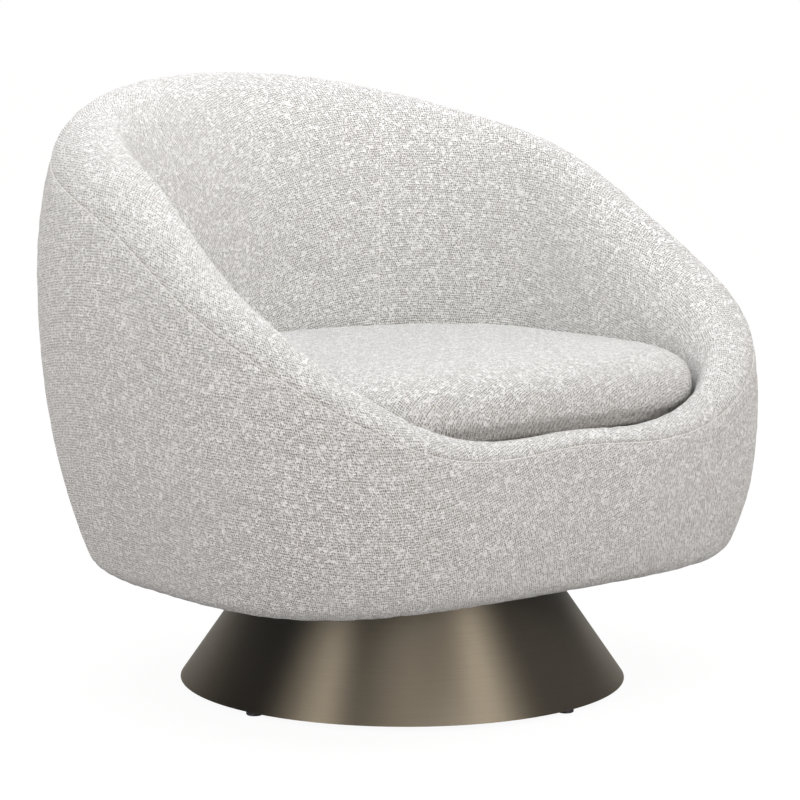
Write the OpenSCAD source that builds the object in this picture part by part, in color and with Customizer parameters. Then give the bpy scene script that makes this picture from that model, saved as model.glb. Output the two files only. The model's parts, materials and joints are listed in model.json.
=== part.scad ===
// Swivel armchair: a one-piece upholstered bowl with a loose seat cushion, turning on a conical metal base.
// Units are millimetres. The origin is on the floor below the middle of the shell, +Z is up,
// the front of the seat faces -Y and +X is the right hand of a person who stands in front of the chair.
// Angles round the chair start at the front (-Y) and grow towards +X.

/* [Shell plan] */
// Overall width of the shell
shell_w = 812; // [760:1:860]
// Overall depth of the shell
shell_d = 720; // [700:1:780]
// Squareness of the front half of the plan, 2 is an ellipse
front_square = 4.1; // [3.5:0.1:4.4]
// Squareness of the back half of the plan
back_square = 2; // [1.95:0.05:2.3]
// How far the swivel axis lies in front of the middle of the shell
swivel_forward = 57; // [40:1:70]

/* [Shell wall] */
// Height of the underside above the floor
under_h = 144; // [144:1:150]
// Radius of the rounded bottom edge
bottom_r = 20; // [18:1:26]
// Height at which the front wall is widest
belly_front_h = 274; // [250:1:285]
// Height at which the back wall is widest
belly_back_h = 560; // [500:1:600]
// Share of the plan by which the front wall draws in at the bottom
tuck_front = 0.063; // [0.03:0.001:0.08]
// Share of the plan by which the back wall draws in at the bottom
tuck_back = 0.196; // [0.12:0.001:0.22]
// How suddenly the front wall draws in
tuck_power_front = 2.6; // [2:0.1:3]
// How suddenly the back wall draws in
tuck_power_back = 2.1; // [2:0.1:3]
// Share of the plan by which a wall leans in at the height lean_h above its widest height
lean_in = 0.24; // [0.1:0.01:0.26]
// Height over which the wall leans in by that share
lean_h = 300; // [290:5:400]

/* [Rim height] */
// Height of the rim at the front
rim_h_0 = 328; // [324:1:332]
// Height of the rim 30 degrees from the front
rim_h_30 = 341; // [338:1:350]
// Height of the rim 60 degrees from the front
rim_h_60 = 477; // [460:1:490]
// Height of the rim at the sides
rim_h_90 = 604; // [580:1:620]
// Height of the rim 120 degrees from the front
rim_h_120 = 663; // [640:1:680]
// Height of the rim 150 degrees from the front
rim_h_150 = 699; // [680:1:710]
// Height of the rim at the back
rim_h_180 = 710; // [695:1:730]

/* [Rim roll] */
// Width from the outer seam to the top of the rim: front, side, back
roll_out_w = [20, 60, 66]; // [20:1:70]
// Rise from the outer seam to the top of the rim: front, side, back
roll_out_h = [15, 52, 40]; // [14:1:60]
// Share of the width between the top of the rim and the deck that the inner roll takes: front, side, back
roll_in_share = [0.6, 0.85, 0.8]; // [0.6:0.01:0.88]
// Drop from the top of the rim to the foot of the inner roll: front, side, back
roll_in_h = [14, 140, 230]; // [14:1:240]

/* [Seat well] */
// Width of the shell's wall at the seat deck, at the sides
side_wall_w = 116; // [115:1:122]
// Width of the shell's wall at the seat deck, at the front
front_wall_w = 42; // [41:1:44]
// Width of the shell's wall at the seat deck, at the back
back_wall_w = 195; // [185:1:210]
// Squareness of the front of the deck
deck_front_square = 4.4; // [4:0.1:4.6]
// Squareness of the back of the deck
deck_back_square = 2.2; // [2:0.1:2.4]
// Height of the top of the seat ring
seat_ring_h = 284; // [280:1:285]
// How suddenly the inner wall slopes in towards the deck
inner_slope = 1.6; // [1.2:0.1:2]

/* [Cover] */
// Thickness of the woven cover
cover_t = 3; // [2:0.1:3.5]
// Distance of the front band's side seams from the middle
seam_x = 222; // [190:1:235]
// Angle of the seams in the inside back, from the front
back_seam_angle = 137; // [125:1:150]
// Width of the hem under the bottom board
hem_w = 18; // [12:1:24]
// Gap between two cover panels at a seam
seam_gap = 0.4; // [0.3:0.05:0.6]

/* [Padding] */
// Thickness of the outer padding
pad_t = 12; // [8:0.5:12]
// Thickness of the inside foam at deck height: front, side, back
foam_low_t = [6, 30, 45]; // [5:1:50]
// Thickness of the deck foam
deck_foam_t = 20; // [15:0.5:20]
// Thickness of the deck cloth
deck_cloth_t = 1.5; // [1:0.1:2]

/* [Frame] */
// Thickness of the bottom board
board_t = 18; // [15:1:21]
// Thickness of the ribs
rib_t = 18; // [12:1:21]
// Height of the top rail
rail_h = 18; // [15:1:20]
// Width of the top rail: front, side, back
rail_w = [11, 38, 60]; // [10:1:62]
// Drop of the top rail below the top of the rim: front, side, back
rail_drop = [12, 32, 30]; // [11:1:36]
// Height of the seat ring
ring_t = 20; // [18:1:25]
// How far the seat ring reaches outside the deck
ring_out = 12; // [10:1:12]
// How far the seat ring reaches inside the deck
ring_in = 28; // [20:1:40]
// Width of the webbing straps
strap_w = 50; // [40:1:60]
// Thickness of the webbing straps
strap_t = 1.5; // [1.2:0.1:2]
// Distance from strap to strap
strap_pitch = 78; // [70:1:90]

/* [Cushion] */
// Room between the cushion and the edge of the deck at each side
cushion_side_room = 4; // [3:1:20]
// How far the cushion reaches over the front edge of the deck
cushion_overhang = 2; // [-6:1:4]
// Room between the cushion and the edge of the deck at the back
cushion_back_room = 5; // [3:1:25]
// Squareness of the front of the cushion
cushion_front_square = 5.4; // [4:0.1:6]
// Squareness of the back of the cushion
cushion_back_square = 2.2; // [2:0.1:2.2]
// Height of the cushion at its crown
cushion_h = 99; // [80:1:110]
// Height of the cushion's widest line above its bottom
cushion_mid_h = 36; // [28:1:44]
// Share of the plan that the bottom seam keeps
cushion_bottom_share = 0.9; // [0.86:0.01:0.92]
// Thickness of the cushion's panels
panel_t = 2.5; // [2:0.1:3]
// Width of the zip
zip_w = 7; // [5:0.5:9]
// Thickness of the zip
zip_t = 1.2; // [0.8:0.1:1.6]
// Angle at which the zip ends, from the front
zip_end_angle = 42; // [36:6:60]

/* [Base] */
// Radius of the base at its foot
base_r = 263; // [255:1:270]
// Radius of the base at its top edge
base_top_r = 170; // [160:1:175]
// Height of the base's top edge
base_h = 140; // [138:1:140]
// Height of the base's foot above the floor
foot_gap = 6; // [5:0.5:8]
// Wall of the sheet metal, measured level
sheet_t = 2.4; // [2:0.1:3]
// Width of the turned-in flange at the foot
flange_w = 27; // [26:1:32]
// Height of the top plate's lower face
top_plate_h = 117; // [115:0.5:117]
// Thickness of the top plate
top_plate_t = 5; // [4:0.5:5]

/* [Glides] */
// Radius of the circle that the glides stand on
glide_circle_r = 248; // [244:1:248]
// Radius of a glide's foot
glide_foot_r = 9.5; // [8:0.5:10]
// Radius of a glide's stem
glide_stem_r = 3; // [2.5:0.5:3]
// Height of the top of the stem when the glide is screwed in
glide_stem_top = 15.5; // [14:0.5:15.5]
// Height of a weld nut
glide_nut_h = 5; // [4:0.5:5]
// Width across flats of a weld nut
glide_nut_af = 10; // [8:0.5:10]
// Turn of the base on the floor
glide_turn = 7; // [0:1:30]

/* [Swivel] */
// Width of the square lower swivel plate
lower_plate_w = 204; // [190:1:210]
// Width of the square upper swivel plate
upper_plate_w = 176; // [170:1:180]
// Thickness of the swivel plates
swivel_plate_t = 3; // [2.5:0.1:3]
// Diameter of a ball
ball_d = 6.3; // [5:0.1:6.3]
// Number of balls
ball_count = 16; // [8:1:20]
// Radius of the ball race
race_r = 66; // [55:1:68]
// Radius of the hollow rivet's shank
rivet_r = 12; // [8:0.5:14]
// Distance of the lower screws from the axis along X and Y
lower_screw_d = 86; // [84:1:88]
// Distance of the upper bolts from the axis along X and Y
upper_bolt_d = 70; // [66:1:72]
// Radius of the screws and bolts
screw_r = 3; // [2.5:0.25:3]
// Radius of the riser under the bottom board
riser_r = 130; // [125:1:140]

/* [Hidden] */
// Columns round half of the shell: over the front band, over the side and over the back panel
front_columns = 7;
side_columns = 20;
back_columns = 9;
half_columns = front_columns + side_columns + back_columns;
all_columns = 2 * half_columns;
// Clearance between two pieces that lie on each other
lie = 0.3;
// Radial clearance of a turning or sliding fit
run_fit = 0.06;
// Radial clearance of a screw in its hole
screw_fit = 0.3;
full_turn = 360;
half_turn = full_turn / 2;
// Extra length of a cut past the face that it opens
cut = 1;
half_w = shell_w / 2;
half_d = shell_d / 2;
deck_half_w = half_w - side_wall_w;
deck_front = half_d - front_wall_w;
deck_back = half_d - back_wall_w;
cushion_half_w = deck_half_w - cushion_side_room;
cushion_front = deck_front + cushion_overhang;
cushion_back = deck_back - cushion_back_room;
swivel_y = -swivel_forward;

// Height of each layer of the seat deck, from the ring up
long_strap_z = seat_ring_h + lie;
cross_strap_z = long_strap_z + strap_t + lie;
well_z = cross_strap_z + strap_t + lie;
deck_cloth_z = well_z + deck_foam_t + lie;
cushion_z = deck_cloth_z + deck_cloth_t + lie;

// Height of each layer of the underside
board_z = under_h + cover_t + lie;
board_top_z = board_z + board_t;
dust_t = 1;

// Height of each layer of the swivel
lower_plate_z = top_plate_h + top_plate_t;
race_z = lower_plate_z + swivel_plate_t;
race_gap = ball_d + 2 * run_fit;
upper_plate_z = race_z + race_gap;
riser_z = upper_plate_z + swivel_plate_t;
rivet_head_t = 2;
rivet_head_r = rivet_r + 5;
rivet_hole_r = rivet_head_r + 3;
screw_head_r = 2 * screw_r;
screw_head_t = 2.8;
tee_barrel_r = screw_r + 1.2;
tee_barrel_h = 10;
tee_flange_t = 1.5;

// Base details
flange_t = 2;
foot_chamfer = 1;

// Frame details: the ribs hold the seat ring on a shoulder
rib_count = 12;
rib_gap = 5;
rib_top_gap = 1;
rail_gap = 1;
foam_knee_min = 2;
shoulder_z = seat_ring_h - ring_t;
shoulder_w = 20;
strap_margin = 6;
deck_margin = 1;
dust_margin = 1.5;
strap_counts = [6, 5];

// Angles between which the front band's seams are looked for
seam_from = 5;
seam_to = 85;

// Half of the turn that a seam's gap takes, and the depth of the padding's two faces:
// the padding lies under the cover with a gap that its facets don't close
seam_turn = asin(seam_gap / shell_d);
cover_gap = 0.8;
pad_outer_d = cover_t + cover_gap;
pad_inner_d = pad_outer_d + pad_t;

// Stations of the outer panels, of the panels over the rim and inside, and of the padding
outer_stations = [-1, 0, 0.34, 0.67, 1, 1.25, 1.5, 1.75, 1.999];
rim_stations = [2.004, 2.3, 2.6, 3, 3.35, 3.7, 4, 4.35, 4.7, 4.98];
pad_stations = [0.67, 1, 1.25, 1.5, 1.75, 1.99];
foam_stations = [2.03, 2.3, 2.6, 3, 3.35, 3.7, 4, 4.35, 4.7, 4.98];
rim_base = 2;
deck_edge = 5;

// Cushion: how suddenly the crown falls and how round it is, and its rings from the crown down
crown_fall = 6;
crown_round = 2.1;
dome_n = 60;
dome_stations = [0.2, 0.4, 0.58, 0.73, 0.87, 1, 1.35, 1.7, 2];
dome_points = dome_n * len(dome_stations);
last_ring = dome_n * (len(dome_stations) - 1);
zip_station = 1.58;
slider_size = [5, 2, 6];
slider_gap = 0.5;
slider_turn = 0.45;

rim_h = [rim_h_0, rim_h_30, rim_h_60, rim_h_90, rim_h_120, rim_h_150, rim_h_180];
rim_step = 30;

// Value between two, by a share
function mix(a, b, t) = a + (b - a) * t;

// Share of the way from the front to the back of the chair
function backness(phi) = (1 - cos(phi)) / 2;

// Smooth value round the chair through its front, side and back values
function around(v, phi) = v[1] + (v[0] - v[2]) / 2 * cos(phi) + ((v[0] + v[2]) / 2 - v[1]) * pow(cos(phi), 2);

// Radius of a plan outline whose front and back halves have their own reach and squareness
function outline_r(phi, side, front, back, front_n, back_n) =
    let (n = cos(phi) > 0 ? front_n : back_n, reach = cos(phi) > 0 ? front : back)
    pow(pow(abs(sin(phi)) / side, n) + pow(abs(cos(phi)) / reach, n), -1 / n);
function plan_r(phi) = outline_r(phi, half_w, half_d, half_d, front_square, back_square);
function deck_r(phi) =
    outline_r(phi, deck_half_w, deck_front, deck_back, deck_front_square, deck_back_square);
function cushion_r(phi) =
    outline_r(phi, cushion_half_w, cushion_front, cushion_back, cushion_front_square, cushion_back_square);

// Rim height: a smooth curve through the seven heights, level at the front and at the back
function fold(phi) = let (p = abs(phi)) p > half_turn ? full_turn - p : p;
function rim_at(i) = let (last = len(rim_h) - 1) rim_h[i < 0 ? -i : i > last ? 2 * last - i : i];
function crest_z(phi) =
    let (a = fold(phi) / rim_step, i = min(floor(a), len(rim_h) - 2), t = a - i)
    let (p = rim_at(i), q = rim_at(i + 1), mp = (q - rim_at(i - 1)) / 2, mq = (rim_at(i + 2) - p) / 2)
    (2 * pow(t, 3) - 3 * t * t + 1) * p + (pow(t, 3) - 2 * t * t + t) * mp
    + (3 * t * t - 2 * pow(t, 3)) * q + (pow(t, 3) - t * t) * mq;

// Radius of the outer wall at a height: it draws in below its widest height and leans in above it
function wall_r(phi, z) =
    let (widest = mix(belly_front_h, belly_back_h, backness(phi)))
    let (low = max(0, (widest - z) / (widest - under_h)), high = max(0, (z - widest) / lean_h))
    let (power = mix(tuck_power_front, tuck_power_back, backness(phi)))
    plan_r(phi) * (1 - mix(tuck_front, tuck_back, backness(phi)) * pow(low, power) - lean_in * high * high);
function seam_z(phi) = crest_z(phi) - around(roll_out_h, phi);

// The rounded bottom edge: it meets the wall at foot_r and the underside at edge_r
foot_z = under_h + bottom_r;
function foot_r(phi) = wall_r(phi, foot_z);
function foot_lean(phi) = wall_r(phi, foot_z + 1) - foot_r(phi);
function edge_r(phi) = foot_r(phi) - bottom_r * (foot_lean(phi) + norm([1, foot_lean(phi)]));

// Cubic curve from a to d that leaves towards b and arrives from c
function bezier(a, b, c, d, t) =
    pow(1 - t, 3) * a + 3 * t * pow(1 - t, 2) * b + 3 * t * t * (1 - t) * c + pow(t, 3) * d;
round_share = 0.55;

// Shell profile as [radius, height] at a station: -1 to 0 hem, to 1 bottom edge, to 2 outer wall,
// to 3 outer half of the rim, to 4 inner half of the rim, to 5 inner wall down to the deck
function profile(phi, s) =
    s < 0 ? [edge_r(phi) + hem_w * s, under_h]
    : s < 1 ? let (a = [edge_r(phi), under_h], d = [foot_r(phi), foot_z], reach = bottom_r * round_share)
        bezier(a, a + [reach * norm([1, foot_lean(phi)]), 0], d - reach * [foot_lean(phi), 1], d, s)
    : s < rim_base ? let (z = mix(foot_z, seam_z(phi), s - 1)) [wall_r(phi, z), z]
    : rim_profile(phi, s);
function rim_profile(phi, s) =
    let (top = crest_z(phi), z = seam_z(phi), r = wall_r(phi, z), lean = wall_r(phi, z - 1) - r)
    let (w = around(roll_out_w, phi), h = around(roll_out_h, phi))
    let (v = around(roll_in_share, phi) * (r - w - deck_r(phi)), g = around(roll_in_h, phi))
    let (crown = [r - w, top], inner = [r - w - v, top - g])
    s < 3 ? bezier([r, z], [r - lean * h * round_share, z + h * round_share],
                   crown + [w * round_share, 0], crown, s - 2)
    : s < 4 ? bezier(crown, crown - [v * round_share, 0], inner + [0, g * round_share], inner, s - 3)
    : [mix(inner[0], deck_r(phi), pow(s - 4, inner_slope)), mix(inner[1], well_z, s - 4)];

// The profile at a depth below the surface
slope_step = 0.02;
function deep(phi, s, depth) =
    let (a = profile(phi, s - slope_step), b = profile(phi, s + slope_step), t = (b - a) / norm(b - a))
    profile(phi, s) + depth * [-t[1], t[0]];

// Point in space from an angle and [radius, height]
function place(phi, p) = [p[0] * sin(phi), -p[0] * cos(phi), p[1]];

// Angle at which the profile's station passes a distance x from the middle
function angle_at_x(s, x, lo = seam_from, hi = seam_to, steps = 18) =
    let (mid = (lo + hi) / 2)
    steps == 0 ? mid
    : profile(mid, s)[0] * sin(mid) < x ? angle_at_x(s, x, mid, hi, steps - 1)
    : angle_at_x(s, x, lo, mid, steps - 1);

// Angle of a column of the shell at a station: columns run along the seams, from the front over the
// right side to the back and on, so that panels, padding and frame share their corners
function column(k, s) =
    k < 0 ? -column(-k, s)
    : k > half_columns ? full_turn - column(all_columns - k, s)
    : let (seam = angle_at_x(s, seam_x), side = k - front_columns, back = side - side_columns)
      side <= 0 ? seam * k / front_columns
      : back <= 0 ? mix(seam, back_seam_angle, side / side_columns)
      : mix(back_seam_angle, half_turn, back / back_columns);

// Solid through loops of points with as many points each: an open row of loops gets end faces,
// each made of a strip because a loop runs out along one side and back along the other. A flipped
// loft parts its quads along the other diagonal, so that its outside matches the inside of a panel
module loft(loops, closed = false, flipped = false) {
    n = len(loops[0]);
    m = len(loops);
    last = closed ? m - 1 : m - 2;
    sides = [for (i = [0:last], j = [0:n - 1])
        let (a = i * n + j, b = i * n + (j + 1) % n, k = ((i + 1) % m) * n, c = k + (j + 1) % n, d = k + j)
        each flipped ? [[a, b, d], [b, c, d]] : [[a, b, c], [a, c, d]]];
    first_end = closed ? [] : [for (j = [0:n / 2 - 2])
        each [[j, n - 2 - j, j + 1], [j, n - 1 - j, n - 2 - j]]];
    base = (m - 1) * n;
    second_end = closed ? [] : [for (j = [0:n / 2 - 2])
        each [[base + j, base + j + 1, base + n - 2 - j], [base + j, base + n - 2 - j, base + n - 1 - j]]];
    polyhedron(points = [for (l = loops) each l], faces = concat(sides, first_end, second_end), convexity = 10);
}

// Even row of numbers from a to b
function row(a, b, n) = [for (i = [0:n]) mix(a, b, i / n)];

// Panel of the cover between two columns, a hair short of the seam on each side
module panel(stations, first, last) {
    n = len(stations) - 1;
    loft([for (k = [first:last])
        let (shift = k == first ? seam_turn : k == last ? -seam_turn : 0)
        let (angles = [for (s = stations) column(k, s) + shift])
        concat([for (j = [0:n]) place(angles[j], profile(angles[j], stations[j]))],
               [for (j = [n:-1:0]) place(angles[j], deep(angles[j], stations[j], cover_t))])]);
}

// Outlines of the seat deck and of the foot of the shell, and a flat board cut to an outline
function flat(phi, r) = r * [sin(phi), -cos(phi)];
function deck_outline(grow) = [for (k = [0:all_columns - 1])
    let (phi = column(k, deck_edge)) flat(phi, deck_r(phi) + grow)];
function foot_outline(grow) = [for (k = [0:all_columns - 1])
    let (phi = column(k, 0)) flat(phi, edge_r(phi) + grow)];
module slab(outline, z, t) {
    translate([0, 0, z])
        linear_extrude(t)
            polygon(outline);
}

// Base, standing on the floor

flange_top_z = foot_gap + flange_t;
function cone_r(z) = mix(base_r, base_top_r, (z - foot_gap) / (base_h - foot_gap));

module on_axis() {
    translate([0, swivel_y, 0])
        children();
}
module at_glide(i) {
    on_axis()
        rotate(glide_turn + 90 * i)
            translate([0, -glide_circle_r, 0])
                children();
}
module at_corners(d) {
    for (x = [-d, d], y = [-d, d])
        translate([x, y, 0])
            children();
}

module base_cone() {
    color("#5b5349")
        difference() {
            on_axis()
                rotate_extrude($fn = 180)
                    polygon([
                        [base_r - flange_w, foot_gap],
                        [base_r, foot_gap],
                        [base_top_r, base_h],
                        [base_top_r - sheet_t, base_h],
                        [cone_r(flange_top_z) - sheet_t, flange_top_z],
                        [base_r - flange_w, flange_top_z]
                    ]);
            for (i = [0:3])
                at_glide(i)
                    cylinder(h = 3 * foot_gap, r = glide_stem_r + screw_fit, center = true, $fn = 32);
        }
}

module base_top_plate() {
    color("#4a4640")
        on_axis()
            difference() {
                translate([0, 0, top_plate_h])
                    cylinder(h = top_plate_t, r = cone_r(top_plate_h + top_plate_t) - sheet_t - lie, $fn = 120);
                cylinder(h = base_h, r = rivet_hole_r, $fn = 48);
                at_corners(lower_screw_d)
                    cylinder(h = base_h, r = screw_r + screw_fit, $fn = 32);
            }
}

module glide_nuts() {
    color("silver")
        for (i = [0:3])
            at_glide(i)
                translate([0, 0, flange_top_z])
                    difference() {
                        cylinder(h = glide_nut_h, r = glide_nut_af / 2 / cos(30), $fn = 6);
                        translate([0, 0, -cut])
                            cylinder(h = glide_nut_h + 2 * cut, r = glide_stem_r + run_fit, $fn = 32);
                    }
}

module glide_foot(i) {
    top = foot_gap - lie;
    color("#3a3640")
        at_glide(i)
            rotate_extrude($fn = 48)
                polygon([
                    [0, 0], [glide_foot_r - foot_chamfer, 0], [glide_foot_r, foot_chamfer],
                    [glide_foot_r, top - foot_chamfer], [glide_foot_r - foot_chamfer, top], [0, top]
                ]);
}
module glide_stem(i) {
    color("silver")
        at_glide(i)
            translate([0, 0, foot_gap - lie])
                cylinder(h = glide_stem_top - foot_gap + lie, r = glide_stem_r, $fn = 32);
}

module swivel_lower_plate() {
    color("dimgray")
        on_axis()
            difference() {
                translate([-lower_plate_w / 2, -lower_plate_w / 2, lower_plate_z])
                    cube([lower_plate_w, lower_plate_w, swivel_plate_t]);
                cylinder(h = base_h, r = rivet_r + run_fit, $fn = 48);
                at_corners(lower_screw_d)
                    cylinder(h = base_h, r = screw_r + screw_fit, $fn = 32);
            }
}

module at_balls() {
    for (i = [0:ball_count - 1])
        rotate(full_turn / ball_count * i)
            translate([race_r, 0, 0])
                children();
}
module ball_cage() {
    cage_t = 2;
    color("ivory")
        on_axis()
            translate([0, 0, race_z + (race_gap - cage_t) / 2])
                difference() {
                    cylinder(h = cage_t, r = race_r + ball_d, $fn = 96);
                    translate([0, 0, -cut])
                        cylinder(h = cage_t + 2 * cut, r = race_r - ball_d, $fn = 96);
                    at_balls()
                        translate([0, 0, -cut])
                            cylinder(h = cage_t + 2 * cut, r = ball_d / 2 + run_fit, $fn = 32);
                }
}
module swivel_balls() {
    color("silver")
        on_axis()
            at_balls()
                translate([0, 0, race_z + race_gap / 2])
                    sphere(d = ball_d, $fn = 32);
}

module swivel_rivet() {
    low_z = lower_plate_z - rivet_head_t;
    high_z = riser_z + run_fit;
    color("gray")
        on_axis()
            rotate_extrude($fn = 64)
                polygon([
                    [rivet_r - 3, low_z], [rivet_head_r, low_z], [rivet_head_r, lower_plate_z],
                    [rivet_r, lower_plate_z], [rivet_r, high_z], [rivet_head_r, high_z],
                    [rivet_head_r, high_z + rivet_head_t], [rivet_r - 3, high_z + rivet_head_t]
                ]);
}

module base_screws() {
    color("gray")
        on_axis()
            at_corners(lower_screw_d) {
                translate([0, 0, race_z])
                    cylinder(h = screw_head_t, r = screw_head_r, $fn = 32);
                translate([0, 0, top_plate_h - 2 * screw_r])
                    cylinder(h = race_z - top_plate_h + 2 * screw_r, r = screw_r, $fn = 32);
            }
}
module base_nuts() {
    nut_t = 1.7 * screw_r;
    color("silver")
        on_axis()
            at_corners(lower_screw_d)
                translate([0, 0, top_plate_h - nut_t])
                    difference() {
                        cylinder(h = nut_t, r = 1.9 * screw_r, $fn = 6);
                        translate([0, 0, -cut])
                            cylinder(h = nut_t + 2 * cut, r = screw_r + run_fit, $fn = 32);
                    }
}

// Swivel's upper half and the seat frame

module swivel_upper_plate() {
    color("dimgray")
        on_axis()
            difference() {
                translate([-upper_plate_w / 2, -upper_plate_w / 2, upper_plate_z])
                    cube([upper_plate_w, upper_plate_w, swivel_plate_t]);
                cylinder(h = under_h, r = rivet_r + run_fit, $fn = 48);
                at_corners(upper_bolt_d)
                    cylinder(h = under_h, r = screw_r + screw_fit, $fn = 32);
            }
}

module riser() {
    color("burlywood")
        on_axis()
            difference() {
                translate([0, 0, riser_z])
                    cylinder(h = board_z - riser_z, r = riser_r, $fn = 96);
                cylinder(h = 2 * under_h, r = rivet_hole_r, $fn = 48);
                at_corners(upper_bolt_d)
                    cylinder(h = 2 * under_h, r = screw_r + screw_fit, $fn = 32);
            }
}

module seat_bolts() {
    bolt_end = board_top_z - 2;
    color("gray")
        on_axis()
            at_corners(upper_bolt_d) {
                translate([0, 0, upper_plate_z - screw_head_t])
                    cylinder(h = screw_head_t, r = screw_head_r, $fn = 32);
                translate([0, 0, upper_plate_z])
                    cylinder(h = bolt_end - upper_plate_z, r = screw_r, $fn = 32);
            }
}

module tee_nuts() {
    color("silver")
        on_axis()
            at_corners(upper_bolt_d)
                difference() {
                    union() {
                        translate([0, 0, board_top_z - tee_barrel_h])
                            cylinder(h = tee_barrel_h, r = tee_barrel_r, $fn = 32);
                        translate([0, 0, board_top_z])
                            cylinder(h = tee_flange_t, r = 3 * screw_r, $fn = 32);
                    }
                    translate([0, 0, board_z])
                        cylinder(h = 2 * board_t, r = screw_r + run_fit, $fn = 32);
                }
}

module bottom_board() {
    color("burlywood")
        difference() {
            slab(foot_outline(0), board_z, board_t);
            on_axis()
                at_corners(upper_bolt_d) {
                    cylinder(h = 2 * under_h, r = screw_r + screw_fit, $fn = 32);
                    translate([0, 0, board_top_z - tee_barrel_h - lie])
                        cylinder(h = board_t, r = tee_barrel_r + run_fit, $fn = 32);
                }
        }
}

module dust_cover() {
    color("#222222")
        difference() {
            slab(foot_outline(-hem_w - dust_margin), board_z - lie - dust_t, dust_t);
            on_axis()
                cylinder(h = 2 * under_h, r = riser_r + 1, $fn = 96);
        }
}

// Top rail's section at an angle: outer and inner radius, top and bottom height
function rail_outer(phi) = wall_r(phi, seam_z(phi)) - pad_inner_d - rail_gap;
function rail_inner(phi) = rail_outer(phi) - around(rail_w, phi);
function rail_top(phi) = crest_z(phi) - around(rail_drop, phi);
function rail_low(phi) = rail_top(phi) - rail_h;
module frame_top_rail() {
    color("burlywood")
        loft([for (k = [0:all_columns - 1])
            let (phi = column(k, rim_base))
            [for (p = [[rail_outer(phi), rail_low(phi)], [rail_outer(phi), rail_top(phi)],
                       [rail_inner(phi), rail_top(phi)], [rail_inner(phi), rail_low(phi)]])
                place(phi, p)]],
            closed = true);
}

// Back face of the inside foam at an angle: a straight line from the deck up to the rail's inner edge
function foam_low_r(phi) = deck_r(phi) + pad_outer_d + around(foam_low_t, phi);
function foam_knee_z(phi) = max(rail_low(phi), well_z + foam_knee_min);
function foam_back_r(phi, z) = mix(foam_low_r(phi), rail_inner(phi) - lie,
                                   max(0, min(1, (z - well_z) / (foam_knee_z(phi) - well_z))));

// Rib from the bottom board up to the top rail, with the shoulder for the seat ring; it is a stack of
// sections, each with four corners at a share of the way up one of its three stretches
wall_lean_share = 1.07;
function rib_z(phi, part, share) =
    part == 0 ? mix(board_top_z + lie, shoulder_z - lie, share)
    : part == 1 ? shoulder_z
    : mix(well_z + lie, rail_low(phi) - rib_top_gap, share);
function rib_outer_r(phi, z) = wall_r(phi, z) - (cover_t + pad_t) * wall_lean_share - rib_gap;
function rib_inner_r(phi, part, z) =
    let (outside_ring = deck_r(phi) + ring_out + lie)
    part == 0 ? deck_r(phi) - shoulder_w
    : part == 1 ? outside_ring
    : max(outside_ring, foam_back_r(phi, z) + rib_gap);
module rib(i) {
    middle = full_turn / rib_count * (i - 1);
    sections = [[0, 0], [0, 0.5], [0, 1], [1, 0], [2, 0], [2, 0.25], [2, 0.5], [2, 0.75], [2, 1]];
    color("tan")
        loft([for (c = sections)
            let (z = rib_z(middle, c[0], c[1]))
            let (out = asin(rib_t / 2 / rib_outer_r(middle, z)))
            let (in = asin(rib_t / 2 / rib_inner_r(middle, c[0], z)))
            concat([for (phi = [middle - in, middle + in]) let (z = rib_z(phi, c[0], c[1]))
                       place(phi, [rib_inner_r(phi, c[0], z), z])],
                   [for (phi = [middle + out, middle - out]) let (z = rib_z(phi, c[0], c[1]))
                       place(phi, [rib_outer_r(phi, z), z])])]);
}

module seat_ring() {
    color("burlywood")
        difference() {
            slab(deck_outline(ring_out), shoulder_z, ring_t);
            slab(deck_outline(-ring_in), shoulder_z - cut, ring_t + 2 * cut);
        }
}

// Straps side by side, cut to end on the seat ring
module webbing(z, count, turn, middle) {
    reach = 2 * shell_w;
    intersection() {
        slab(deck_outline(ring_out - strap_margin), z, strap_t);
        for (i = [0:count - 1])
            translate([0, middle, z])
                rotate(turn)
                    translate([(i - (count - 1) / 2) * strap_pitch - strap_w / 2, -reach / 2, 0])
                        cube([strap_w, reach, strap_t]);
    }
}
module webbing_long() {
    color("gray")
        webbing(long_strap_z, strap_counts[0], 0, 0);
}
module webbing_cross() {
    color("gray")
        webbing(cross_strap_z, strap_counts[1], 90, (deck_back - deck_front) / 2);
}

module deck_foam() {
    color("khaki")
        slab(deck_outline(-deck_margin), well_z, deck_foam_t);
}
module deck_cloth() {
    color("gray")
        slab(deck_outline(-deck_margin), deck_cloth_z, deck_cloth_t);
}

// Padding and covers

module outer_padding() {
    n = len(pad_stations) - 1;
    color("khaki")
        loft([for (k = [0:all_columns - 1])
            let (angles = [for (s = pad_stations) column(k, s)])
            concat([for (j = [0:n]) place(angles[j], deep(angles[j], pad_stations[j], pad_outer_d))],
                   [for (j = [n:-1:0]) place(angles[j], deep(angles[j], pad_stations[j], pad_inner_d))])],
            closed = true, flipped = true);
}

module inside_foam() {
    color("khaki")
        loft([for (k = [0:all_columns - 1])
            let (low = column(k, deck_edge), phi = column(k, rim_base))
            concat([for (s = foam_stations) let (a = column(k, s)) place(a, deep(a, s, pad_outer_d))],
                   [place(low, [foam_low_r(low), well_z])],
                   [for (p = [[rail_inner(phi) - lie, foam_knee_z(phi)], [rail_inner(phi) - lie, rail_top(phi) + lie],
                              [rail_outer(phi) + lie, rail_top(phi) + lie],
                              [rail_outer(phi) + lie, seam_z(phi) + lie]])
                       place(phi, p)])],
            closed = true, flipped = true);
}

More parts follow.
